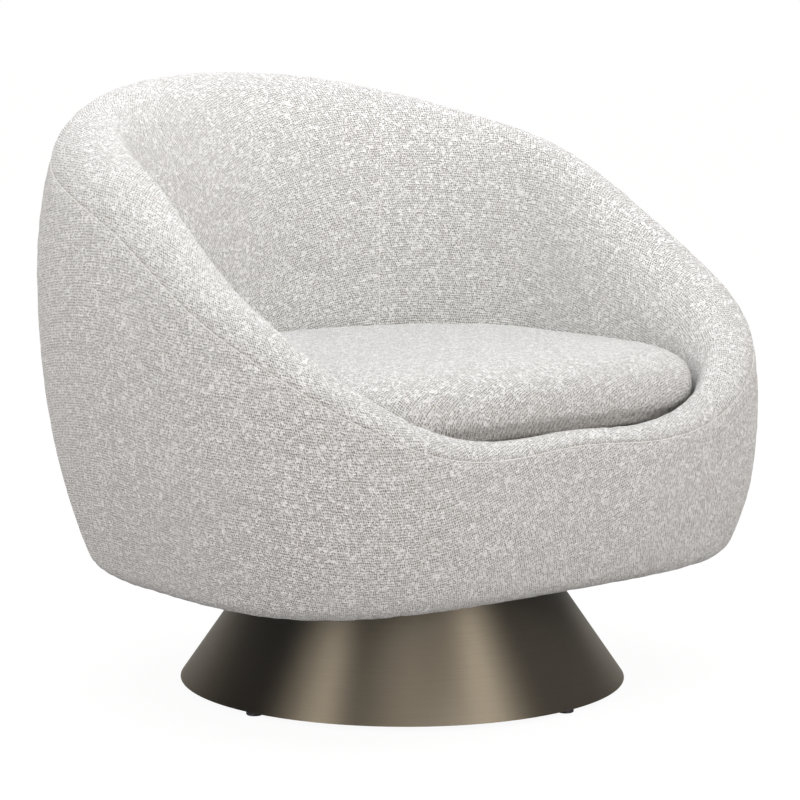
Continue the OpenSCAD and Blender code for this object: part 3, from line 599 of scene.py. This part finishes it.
def seam_angle(s):
    """Angle at which a station passes the front band's seam, found by halving between 5 and 85 degrees."""
    s = np.asarray(s, float)
    low, high = np.full(s.shape, math.radians(5)), np.full(s.shape, math.radians(85))
    for _ in range(22):
        mid = (low + high) / 2
        short = profile(mid, s)[..., 0] * np.sin(mid) < SEAM_X
        low, high = np.where(short, mid, low), np.where(short, high, mid)
    return (low + high) / 2


def column(k, s):
    """Angle of a column at a station; columns run along the seams, from the front over the right side."""
    k, s = np.broadcast_arrays(np.asarray(k, float), np.asarray(s, float))
    folded = np.where(k > HALF_COLS, ALL_COLS - k, np.abs(k))
    seam = seam_angle(s)
    side, back = folded - FRONT_COLS, folded - FRONT_COLS - SIDE_COLS
    on_side, on_back = mix(seam, BACK_SEAM, side / SIDE_COLS), mix(BACK_SEAM, math.pi, back / BACK_COLS)
    angle = np.where(side <= 0, seam * folded / FRONT_COLS, np.where(back <= 0, on_side, on_back))
    return np.where(k > HALF_COLS, TURN - angle, np.where(k < 0, -angle, angle))


def eased(count, squeeze=0.7, ends="both"):
    """Shares from 0 to 1 that stand closer together at both ends, or at the first or the last end only."""
    t = np.linspace(0, 1, count)
    if ends == "both":
        return t - squeeze * np.sin(TURN * t) / TURN
    push = squeeze * np.sin(math.pi * t) / math.pi
    return t + push if ends == "last" else t - push


def run_length(points, axis):
    """Distance run along an axis of a grid of points, from its first point."""
    step = np.linalg.norm(np.diff(points, axis=axis), axis=-1)
    start = np.zeros_like(np.take(step, [0], axis=axis))
    return np.concatenate([start, np.cumsum(step, axis=axis)], axis=axis)


def bell(away, width):
    """1 on a seam, falling to nothing over a few widths from it."""
    return np.exp(-((away / width) ** 2))


def slab_faces(columns, rows):
    """Faces of a slab whose points are an outer grid and then its back with every fourth row: both grids,
    the edges along the first and the last row, and those along the first and the last column, where one
    step of the back meets four of the outer grid."""
    back_rows = (rows - 1) // 4 + 1
    start = columns * rows
    i = np.arange(columns - 1)
    low = np.stack([i * rows, start + i * back_rows, start + (i + 1) * back_rows, (i + 1) * rows], axis=1)
    high = low + np.array([rows - 1, back_rows - 1, back_rows - 1, rows - 1])
    j = np.arange(back_rows - 1)
    near = np.stack([4 * j + step for step in range(5)] + [start + j + 1, start + j], axis=1)
    far = near + np.array([(columns - 1) * rows] * 5 + [(columns - 1) * back_rows] * 2)
    outside, inside = quads(columns, rows), quads(columns, back_rows, start)[:, ::-1]
    return [outside, inside, low, high[:, ::-1], near, far[:, ::-1]]


def cover_panel(name, first, last, columns, stations, seam_first, seam_last, node):
    """A panel of the cover: a grid of columns by stations, sewn in along its sides and, where told, along
    its first or last station. Near a seam it dips as two bells of the distance, with puckers, and away from
    it the cover carries the loops' relief. Its back is the same grid 3 mm deeper with a quarter of the
    rows, and its four edges are closed."""
    k = first + (last - first) * eased(columns)[:, None]
    s = stations[None, :]
    phi = column(k, s)
    smooth = place(phi, profile(phi, s))
    out = unit(np.cross(np.gradient(smooth, axis=0), np.gradient(smooth, axis=1)))
    around_run, up_run = run_length(smooth, 0), run_length(smooth, 1)
    away = np.minimum(around_run, around_run[-1:] - around_run)
    if seam_first:
        away = np.minimum(away, up_run)
    if seam_last:
        away = np.minimum(away, up_run[:, -1:] - up_run)
    pucker = PUCKER_H * lattice_noise(smooth, PUCKER_SIZE, PUCKER_SEED) * bell(away, PUCKER_W)
    dip = SEAM_DIP * bell(away, SEAM_DIP_W) + SEAM_DISH * bell(away, SEAM_DISH_W)
    relief = loops_relief(smooth) * (1 - bell(away, LOOPS_FADE))
    outer = smooth + out * (relief + pucker - dip)[..., None]
    back = (smooth - out * COVER_T)[:, ::4]
    points = np.concatenate([outer.reshape(-1, 3), back.reshape(-1, 3)])
    # The weave is measured from the middle column, along the middle row, and up or down from the seam.
    rows = len(stations)
    from_middle = (around_run - around_run[(columns - 1) // 2])[:, rows // 2, None]
    across = np.broadcast_to(from_middle, up_run.shape)
    uv = np.stack([across, up_run if seam_first else up_run - up_run[:, -1:]], axis=-1)
    uv = np.concatenate([uv.reshape(-1, 2), uv[:, ::4].reshape(-1, 2)]) * MM
    return piece(name, points, slab_faces(columns, rows), FINISH["boucle"], "seat", uv, [node])


def stations_of(*runs):
    """Stations joined from runs of (from, to, steps, where they stand closer), whose steps add up to 4 n."""
    parts = []
    for a, b, steps, ends in runs:
        t = eased(steps + 1, 0.7, ends) if ends else np.linspace(0, 1, steps + 1)
        parts.append(a + (b - a) * t[:-1])
    parts.append([runs[-1][1]])
    return np.concatenate(parts)


def thread_run(path, out, radius):
    """Points and faces of a sewn thread: a six-sided tube along a path, which swells and stands up at each
    stitch and sinks in between, as a cosine of the way."""
    sides, thin, lift, sink = 6, 0.62, 0.45, 0.2
    length = np.concatenate([[0], np.cumsum(np.linalg.norm(np.diff(path, axis=0), axis=1))])
    even = np.arange(0, length[-1], STITCH / 6)
    line = np.stack([np.interp(even, length, path[:, i]) for i in range(3)], axis=1)
    up = unit(np.stack([np.interp(even, length, out[:, i]) for i in range(3)], axis=1))
    ahead = unit(np.gradient(line, axis=0))
    side = unit(np.cross(ahead, up))
    beat = np.cos(even / STITCH * TURN) * 0.5 + 0.5
    turn = np.linspace(0, TURN, sides + 1)[:-1]
    swell = (radius * (thin + (1 - thin) * beat))[:, None, None]
    centre = line + up * (beat * lift - sink)[:, None] * radius
    ring = side[:, None] * np.cos(turn)[None, :, None] + up[:, None] * np.sin(turn)[None, :, None]
    points = centre[:, None] + ring * swell
    count = len(even)
    corner = np.arange(sides)
    caps = np.stack([corner[::-1], (count - 1) * sides + corner])
    return points.reshape(-1, 3), quads(count, sides, close_cols=True), caps[:, ::-1]


def joined(runs):
    """Several runs of points and faces as one."""
    points, sides, caps, start = [], [], [], 0
    for p, f, c in runs:
        points.append(p)
        sides.append(f + start)
        caps.append(c + start)
        start += len(p)
    return np.concatenate(points), [np.concatenate(sides), np.concatenate(caps)]


def shell_line(phi, s, depth):
    """Points at a depth in the shell's surface, along angles and stations, and the way out from there."""
    phi, s = np.broadcast_arrays(np.asarray(phi, float), np.asarray(s, float))
    a, b = place(phi, profile(phi, s - 0.01)), place(phi, profile(phi, s + 0.01))
    c, d = place(phi - 0.003, profile(phi - 0.003, s)), place(phi + 0.003, profile(phi + 0.003, s))
    out = unit(np.cross(d - c, b - a))
    return place(phi, profile(phi, s)) - out * depth, out


def dress_cad_nodes():
    """Every carried-over node gets the finish of its slot."""
    slots = {part["node"]: part["material_slot"] for part in frame["record"]["subparts"]}
    for name, node in frame["nodes"].items():
        finish = FINISH[slots[name]]
        if not node.material_slots:
            node.data.materials.append(finish)
        for held in node.material_slots:
            held.material = finish


def upholstery():
    """The six panels of the shell's cover."""
    last_side = ALL_COLS - FRONT_COLS
    low = stations_of((-1, 0, 4, ""), (0, 1, 8, ""), (1, 2, 40, "last"))
    cover_panel("front_band", -FRONT_COLS, FRONT_COLS, 121, low, False, True, "front_band_cover")
    low = stations_of((-1, 0, 4, ""), (0, 1, 8, ""), (1, 2, 124, "last"))
    cover_panel("outer_wrap", FRONT_COLS, last_side, 521, low, False, True, "outer_cover")
    lip = stations_of((2, 3, 16, "first"), (3, 4, 10, ""), (4, 4.99, 10, ""))
    cover_panel("front_lip", -FRONT_COLS, FRONT_COLS, 121, lip, True, False, "front_lip_cover")
    inside = stations_of((2, 3, 30, "first"), (3, 4, 22, ""), (4, 4.99, 72, ""))
    back_end, other_back = HALF_COLS - BACK_COLS, HALF_COLS + BACK_COLS
    cover_panel("right_inside", FRONT_COLS, back_end, 221, inside, True, False, "right_inside_cover")
    cover_panel("back_inside", back_end, other_back, 151, inside, True, False, "back_inside_cover")
    cover_panel("left_inside", other_back, last_side, 221, inside, True, False, "left_inside_cover")


def sewn_seams():
    """Threads of the seams: one round the rim, and on each side the band's seam below and above the rim and
    the seam of the back panel."""
    rim = shell_line(column(np.linspace(0, ALL_COLS, 1200), 2.0), 2.0, RIM_THREAD_DEPTH)
    runs = [thread_run(*rim, RIM_THREAD_R)]
    low, high = np.linspace(-0.9, 2, 220), np.linspace(2, 4.95, 220)
    seams = ((seam_angle(low), low), (seam_angle(high), high), (BACK_SEAM + 0 * high, high))
    for side in (1, -1):
        for angles, s in seams:
            line = shell_line(side * angles, s, PANEL_THREAD_DEPTH)
            runs.append(thread_run(*line, PANEL_THREAD_R))
    points, faces = joined(runs)
    piece("seam_threads", points, faces, FINISH["thread"], "seat")


# Cushion

def drawn_in(v):
    """Share of the cushion's plan that is left below its widest line: a cosine of the angle v, which runs
    from 0 there to a quarter turn at the bottom seam."""
    return 1 - (1 - CUSHION_BOTTOM_SHARE) * (1 - np.cos(v))


def cushion_limit(phi, z):
    """Largest radius that the cushion may have at an angle and height: its plan above the widest line, drawn
    in on a quarter wave below it."""
    return cushion_r(phi) * drawn_in(np.arcsin(np.clip(1 - (z - CUSHION_Z) / CUSHION_MID_H, 0, 1)))


def cushion_dome():
    """Rings of the cushion from its crown over its widest line to its bottom seam, with its height drawn in
    by the inset: a superellipse above the widest line and a quarter wave below it."""
    t = np.concatenate([np.linspace(0.04, 1, 44), 1 + np.linspace(0.06, 1, 16)])[:, None]
    phi = np.linspace(0, TURN, 241)[None, :-1]
    r = cushion_r(phi) + CUSHION_EASE
    u = np.sin(np.clip(t, 0, 1) * math.pi / 2)
    rise = CUSHION_H - CUSHION_MID_H - CUSHION_INSET
    top = CUSHION_Z + CUSHION_MID_H + rise * np.maximum(0, 1 - u**CROWN_FALL) ** (1 / CROWN_ROUND)
    v = np.clip(t - 1, 0, 1) * math.pi / 2
    low_z = CUSHION_Z + CUSHION_MID_H * (1 - np.sin(v)) + CUSHION_INSET * np.sin(v)
    radius = np.where(t <= 1, r * u, r * drawn_in(v))
    return place(phi, pair(radius, np.where(t <= 1, top + 0 * phi, low_z + 0 * phi)))


def point_rows(mesh, what):
    """The places or normals of a mesh's points, one row each."""
    flat = np.zeros(len(mesh.vertices) * 3, np.float32)
    mesh.vertices.foreach_get(what, flat)
    return flat.reshape(-1, 3)


def move_points(mesh, places):
    """Puts a mesh's points at new places."""
    mesh.vertices.foreach_set("co", places.astype(np.float32).ravel())
    mesh.update()


def inflate(made, pinned_below):
    """Cloth simulation of a closed skin under pressure. The skin swells over some frames, no point moves
    inwards or further than the cap, and the points under a height stay where they are."""
    scene = bpy.context.scene
    start = point_rows(made.data, "co")
    pins = made.vertex_groups.new(name="held")
    pins.add(np.flatnonzero(start[:, 2] < pinned_below).tolist(), 1.0, "REPLACE")
    cloth = made.modifiers.new("Cloth", "CLOTH")
    cloth.settings.use_pressure = True
    cloth.settings.uniform_pressure_force = SWELL_PRESSURE
    cloth.settings.effector_weights.gravity = 0
    cloth.settings.quality = SWELL_QUALITY
    cloth.settings.vertex_group_mass = "held"
    cloth.point_cache.frame_start, cloth.point_cache.frame_end = 1, SWELL_FRAMES
    for number in range(1, SWELL_FRAMES + 1):
        scene.frame_set(number)
    evaluated = made.evaluated_get(bpy.context.evaluated_depsgraph_get())
    move = point_rows(evaluated.data, "co") - start
    outward = unit(start * np.array([1.0, 1.0, 0.0]) + 1e-9)
    move -= outward * np.minimum((move * outward).sum(axis=1, keepdims=True), 0)
    length = np.linalg.norm(move, axis=1, keepdims=True)
    made.modifiers.remove(cloth)
    made.vertex_groups.remove(pins)
    scene.frame_set(1)
    move_points(made.data, start + move * np.minimum(1, SWELL_CAP * MM / np.maximum(length, 1e-9)))


def applied(made, kind, **settings):
    """Adds a modifier and puts its result into the mesh."""
    modifier = made.modifiers.new(kind.title(), kind)
    for key, value in settings.items():
        setattr(modifier, key, value)
    evaluated = made.evaluated_get(bpy.context.evaluated_depsgraph_get())
    result = bpy.data.meshes.new_from_object(evaluated)
    made.modifiers.remove(modifier)
    old, made.data = made.data, result
    bpy.data.meshes.remove(old)


def cushion_skin():
    """Closed skin of the cushion before it swells, its squares made even by a remesh."""
    rings = cushion_dome()
    rows, cols = rings.shape[:2]
    poles = [[0, 0, CUSHION_Z + CUSHION_H - CUSHION_INSET], [0, 0, CUSHION_Z + CUSHION_INSET]]
    points = np.concatenate([rings.reshape(-1, 3), poles])
    j = np.arange(cols)
    j2 = (j + 1) % cols
    rim = (rows - 1) * cols
    crown = np.stack([np.full(cols, rows * cols), j, j2], axis=1)
    under = np.stack([np.full(cols, rows * cols + 1), rim + j2, rim + j], axis=1)
    faces = [quads(rows, cols, close_cols=True), crown, under]
    made = piece("seat_cushion", points, faces, FINISH["boucle"], "cushion",
                 replaces=["cushion_top_panel", "cushion_base_panel", "cushion_core"])
    applied(made, "REMESH", mode="VOXEL", voxel_size=CUSHION_GRAIN * MM)
    return made


def seat_cushion():
    """Loose cushion: a crowned dome, a little low, that swells as a cloth skin under pressure, then gets one
    subdivision and the loops' relief. Its flat underside is let down by a part of the inset, and stays some
    6 mm above the deck. Its sides stay inside the cushion's limit."""
    made = cushion_skin()
    inflate(made, (CUSHION_Z + CUSHION_INSET + PINNED_H) * MM)
    applied(made, "SUBSURF", levels=1, render_levels=1)
    mesh = made.data
    at = point_rows(mesh, "co").astype(float) / MM
    normal = point_rows(mesh, "normal")
    drop = np.clip((CUSHION_Z + UNDERSIDE_H - at[:, 2]) / UNDERSIDE_H, 0, 1)
    at[:, 2] -= CUSHION_INSET * drop**1.5
    at += normal * (loops_relief(at) * (1 - drop))[:, None]
    phi = np.arctan2(at[:, 0], -at[:, 1])
    r = np.hypot(at[:, 0], at[:, 1])
    kept_r = np.minimum(r, cushion_limit(phi, at[:, 2]) + CUSHION_SLACK)
    at[:, :2] *= (kept_r / np.maximum(r, 1e-6))[:, None]
    at[:, 2] = np.maximum(at[:, 2], CUSHION_Z + CUSHION_SLACK)
    move_points(mesh, at * MM)
    mesh.shade_smooth()
    if not mesh.materials:
        mesh.materials.append(FINISH["boucle"])
    # The weave lies nearly flat on the crown, and near the edge it runs on with most of the fall.
    share = np.clip(kept_r / cushion_r(phi), 0, 1)
    fall = CUSHION_Z + CUSHION_H - at[:, 2]
    reach = kept_r + np.where(share > WRAP_FROM, fall * WRAP_EDGE, fall * WRAP_CROWN)
    uv = np.stack([reach * np.sin(phi), -reach * np.cos(phi)], axis=1) * MM
    corner = np.zeros(len(mesh.loops), np.int32)
    mesh.loops.foreach_get("vertex_index", corner)
    mesh.uv_layers.new(name="weave").data.foreach_set("uv", uv[corner].astype(np.float32).ravel())


def zip_end():
    """Slider at the end of the zip, which keeps its place from the frame: a body and, below it, a
    drop-shaped pull. Each is an egg whose plan is squared by a power."""
    phi = ZIP_END - SLIDER_BACK
    v = (ZIP_STATION - 1) * math.pi / 2
    r = cushion_r(phi) * drawn_in(v) + SLIDER_OUT
    out = np.array([math.sin(phi), -math.cos(phi), 0])
    side = np.array([math.cos(phi), math.sin(phi), 0])
    up = np.array([0, 0, 1.0])
    centre = out * r + up * (CUSHION_Z + CUSHION_MID_H * (1 - math.sin(v)))
    rows, cols = 18, 28
    a = np.linspace(0, math.pi, rows)[:, None]
    b = np.linspace(0, TURN, cols + 1)[None, :-1]
    across = np.sign(np.cos(b)) * np.abs(np.cos(b)) ** SLIDER_SQUARE * np.sin(a)
    deep = np.sign(np.sin(b)) * np.abs(np.sin(b)) ** SLIDER_SQUARE * np.sin(a)
    tall = np.cos(a) + 0 * b
    points, faces = [], []
    # Half width, thickness and height of the body and of the pull, and how far below and forward each stands
    eggs = ((2.5, 1.25, 3.0, 0.0, 0.0), (1.5, 0.8, 2.6, 4.6, 0.2))
    for half_w, half_t, half_h, below, forward in eggs:
        egg = side * (half_w * across)[..., None] + out * (half_t * deep)[..., None]
        egg = egg + up * (half_h * tall)[..., None]
        faces.append(quads(rows, cols, len(points) * rows * cols, close_cols=True)[:, ::-1])
        points.append((egg + centre - up * below + out * forward).reshape(-1, 3))
    piece("zip_slider_bead", np.concatenate(points), faces, FINISH["zip_metal"], "cushion",
          replaces=["zip_slider"])


# Hidden cloths

def hole_edge(phi, hole):
    """Radius from the shell's middle to a round hole about the swivel axis."""
    y = -SWIVEL_Y
    return y * np.cos(phi) + np.sqrt(np.maximum(hole**2 - (y * np.sin(phi)) ** 2, 0))


def flat_cloth(name, z, thick, edge_r, finish, node, hole=0.0):
    """A stretched cloth: rings from the middle, or from a hole, to its edge. It waves slightly, is drawn
    at its edge as a sine of the angle that fades inwards, and is closed with a thickness."""
    phi = np.linspace(0, TURN, 241)[None, :-1]
    share = np.linspace(0, 1, 41)[:, None]
    edge = edge_r(phi)
    inner_edge = hole_edge(phi, hole) if hole else 0 * phi + 0.5
    r = mix(inner_edge, edge, share)
    flat = place(phi, pair(r, z + 0 * r))
    wave = CLOTH_WAVE * lattice_noise(flat, CLOTH_WAVE_SIZE, CLOTH_SEED)
    wave = wave + CLOTH_DRAW * share**6 * np.sin(phi * CLOTH_DRAWS)
    low, high = flat.copy(), flat.copy()
    high[..., 2] += thick + wave
    low[..., 2] += wave
    rows, cols = r.shape
    points = np.concatenate([high.reshape(-1, 3), low.reshape(-1, 3)])
    start = rows * cols
    j = np.arange(cols)
    j2 = (j + 1) % cols
    rim = (rows - 1) * cols
    outer = np.stack([rim + j, start + rim + j, start + rim + j2, rim + j2], axis=1)
    inner = np.stack([j, j2, start + j2, start + j], axis=1)
    faces = [quads(rows, cols, close_cols=True), quads(rows, cols, start, close_cols=True)[:, ::-1], outer]
    faces += [inner] if hole else [j[None], start + j[None, ::-1]]
    made = piece(name, points, faces, finish, "seat", replaces=[node])
    cut = place(phi, pair(edge, 0)) * MM
    area = math.pi * float(np.mean(edge**2 - inner_edge**2)) * MM**2


def lining_edge_r(phi):
    """Radius of the inside cover where the lining meets it."""
    top = crest_z(phi) - around(ROLL_IN_H, phi)
    share = (top - LINING_EDGE_Z) / (top - WELL_Z)
    return mix(inner_roll_r(phi), deck_r(phi), np.clip(share, 0, 1) ** INNER_SLOPE) - LINING_GAP


def dust_edge_r(phi):
    """Radius inside the hem, where the dust cloth ends."""
    return wall_foot(phi)[2] - HEM_W - DUST_GAP


def hidden_cloths():
    """Lining of the seat deck, drawn over its foam, and the dust cloth under the seat."""
    flat_cloth("deck_lining", LINING_Z, LINING_T, lining_edge_r, FINISH["deck_cloth"],
               "deck_cloth")
    flat_cloth("dust_cloth", DUST_Z, DUST_T, dust_edge_r, FINISH["black_cloth"],
               "dust_cover", DUST_HOLE)


# Base

def base_skirt():
    """Conical base, turned from its wall's profile. Each corner is a quadratic curve that starts 0.5 or
    0.9 mm from it. The four holes of the glides aren't cut, since nuts and feet cover them."""
    flange_z = FOOT_GAP + FLANGE_T
    over_flange_r = mix(BASE_R, BASE_TOP_R, FLANGE_T / (BASE_Z - FOOT_GAP))
    corners = np.array([
        [BASE_R - FLANGE_W, FOOT_GAP], [BASE_R, FOOT_GAP], [BASE_TOP_R, BASE_Z],
        [BASE_TOP_R - SHEET_T, BASE_Z], [over_flange_r - SHEET_T, flange_z], [BASE_R - FLANGE_W, flange_z],
    ], float)
    cuts = [0.5, 0.9, 0.9, 0.5, 0.5, 0.5]
    line = []
    t = np.linspace(0, 1, 6)[:, None]
    for i, cut in enumerate(cuts):
        here = corners[i]
        before, after = unit(corners[i - 1] - here), unit(corners[(i + 1) % 6] - here)
        a, b = here + before * cut, here + after * cut
        line.append((1 - t) ** 2 * a + 2 * t * (1 - t) * here + t**2 * b)
        if i == 1:
            line.append(mix(b, corners[2] - after * cuts[2], np.linspace(0.02, 0.98, 40)[:, None]))
    line = np.concatenate(line)
    phi = np.linspace(0, TURN, 361)[:-1]
    points = place(phi[:, None], line[None]) + np.array([0, SWIVEL_Y, 0])
    faces = [quads(360, len(line), close_rows=True, close_cols=True)]
    piece("base_skirt", points.reshape(-1, 3), faces, FINISH["bronze_sheet"], "base",
          replaces=["base_cone"])


# Floor, light and camera

def pale_floor():
    """Floor that shows white to the camera and keeps a share of the object's shadow."""
    mesh = bpy.data.meshes.new("floor")
    mesh.from_pydata([(-60, -60, 0), (60, -60, 0), (60, 60, 0), (-60, 60, 0)], [], [(0, 1, 2, 3)])
    floor = bpy.data.objects.new("floor", mesh)
    bpy.context.scene.collection.objects.link(floor)
    n = blank("pale_floor")
    in_mirror = n.mix(n.ray("Is Glossy Ray"), (0.45, 0.445, 0.44, 1), (0.24, 0.27, 0.32, 1))
    plain = n.add("BsdfDiffuse", {}, {"Color": in_mirror})
    glow = n.add("Emission", {}, {"Color": (1, 1, 1, 1), "Strength": 1.17})
    seen = n.add("MixShader", {}, {0: 0.80, 1: plain, 2: glow})
    shown = n.add("MixShader", {}, {0: n.ray("Is Camera Ray"), 1: plain, 2: seen})
    n.add("OutputMaterial", {}, {"Surface": shown})
    mesh.materials.append(n.owner)


def surround():
    """World: white to the camera, bands of light in a mirror, and a soft dome for all else."""
    w = Nodes(bpy.data.worlds.new("studio"))
    bpy.context.scene.world = w.owner
    way = w.add("TexCoord", {}, {}, "Generated")
    across, along, height = w.split(way)
    azimuth = w.add("Math", {"operation": "ARCTAN2"}, {0: across, 1: along * -1.0}) * (0.5 / math.pi) + 0.5
    # Azimuth from the front in degrees, and how bright the surround stands there in a mirror.
    bands = ((-180, 0.5), (-160, 0.25), (-146, 0.1), (-114, 0.0), (-98, 2.8), (-83, 8.6), (-69, 1.2),
             (-53, 3.1), (-38, 4.5), (-24, 3.6), (-9, 3.8), (6, 9.2), (20, 2.8), (32, 0.5), (55, 0.5),
             (90, 0.4), (120, 0.6), (180, 0.5))
    # The ramp holds shares of the full strength, tinted warm.
    full, full_green, full_blue = 12, 12.6, 14
    stops = [(angle / 360 + 0.5, (bright / full, bright / full_green, bright / full_blue, 1))
             for angle, bright in bands]
    glow = w.add("ValToRGB", {"stops": stops}, {0: azimuth})
    glow = w.mix(w.step(height, 0.15, 0.55, 1.0, 0.2), (0.0, 0.0, 0.0, 1), glow)
    mirrored = w.add("Background", {}, {"Color": glow, "Strength": full})
    dome = w.step(height, 0.56, 0.76, 1.0, 0.15) * (across * 0.12 - along * 0.10 + 1.0)
    dome_colour = w.mix(dome, (0, 0, 0, 1), (1, 0.96, 0.945, 1))
    soft = w.add("Background", {}, {"Color": dome_colour, "Strength": 1.5})
    white = w.add("Background", {}, {"Color": (1, 1, 1, 1), "Strength": 1.0})
    unseen = w.add("MixShader", {}, {0: w.ray("Is Glossy Ray"), 1: soft, 2: mirrored})
    shown = w.add("MixShader", {}, {0: w.ray("Is Camera Ray"), 1: unseen, 2: white})
    w.add("OutputWorld", {}, {"Surface": shown})


def overhead_lamp():
    """Wide soft lamp over the chair."""
    place_of_lamp = Vector((-0.15, -0.1, 2.3))
    aim = Vector((0, 0, 0.4))
    lamp = bpy.data.lights.new("overhead", "AREA")
    lamp.shape = "RECTANGLE"
    lamp.size, lamp.size_y = 2.6, 2.4
    lamp.energy = 37
    lamp.color = (0.96, 1.005, 1.045)
    hung = bpy.data.objects.new("overhead", lamp)
    bpy.context.scene.collection.objects.link(hung)
    hung.location = place_of_lamp
    hung.rotation_euler = (aim - place_of_lamp).to_track_quat("-Z", "Y").to_euler()


def camera():
    """Camera of the photograph's view, from its fitted angles, focus and middle."""
    azimuth, elevation, roll = (math.radians(angle) for angle in CAMERA_ANGLES)
    level = math.cos(elevation)
    back = Vector((math.sin(azimuth) * level, -math.cos(azimuth) * level, math.sin(elevation)))
    right = Vector((math.cos(azimuth), math.sin(azimuth), 0))
    up = back.cross(right)
    right, up = right * math.cos(roll) + up * math.sin(roll), up * math.cos(roll) - right * math.sin(roll)
    lens = bpy.data.cameras.new("camera")
    lens.sensor_width, lens.lens = SENSOR_W, FOCUS * SENSOR_W / PICTURE
    lens.shift_x, lens.shift_y = (PICTURE / 2 - MIDDLE_X) / PICTURE, (MIDDLE_Y - PICTURE / 2) / PICTURE
    lens.clip_start, lens.clip_end = 0.05, 60
    held = bpy.data.objects.new("camera", lens)
    bpy.context.scene.collection.objects.link(held)
    stand = Vector((0, SWIVEL_Y * MM, CAMERA_AIM_Z)) + back * CAMERA_AWAY
    held.matrix_world = Matrix.Translation(stand) @ Matrix((right, up, back)).transposed().to_4x4()
    bpy.context.scene.camera = held
    bpy.context.scene.view_settings.view_transform = "Standard"


dress_cad_nodes()
upholstery()
sewn_seams()
seat_cushion()
zip_end()
hidden_cloths()
base_skirt()
pale_floor()
surround()
overhead_lamp()
camera()
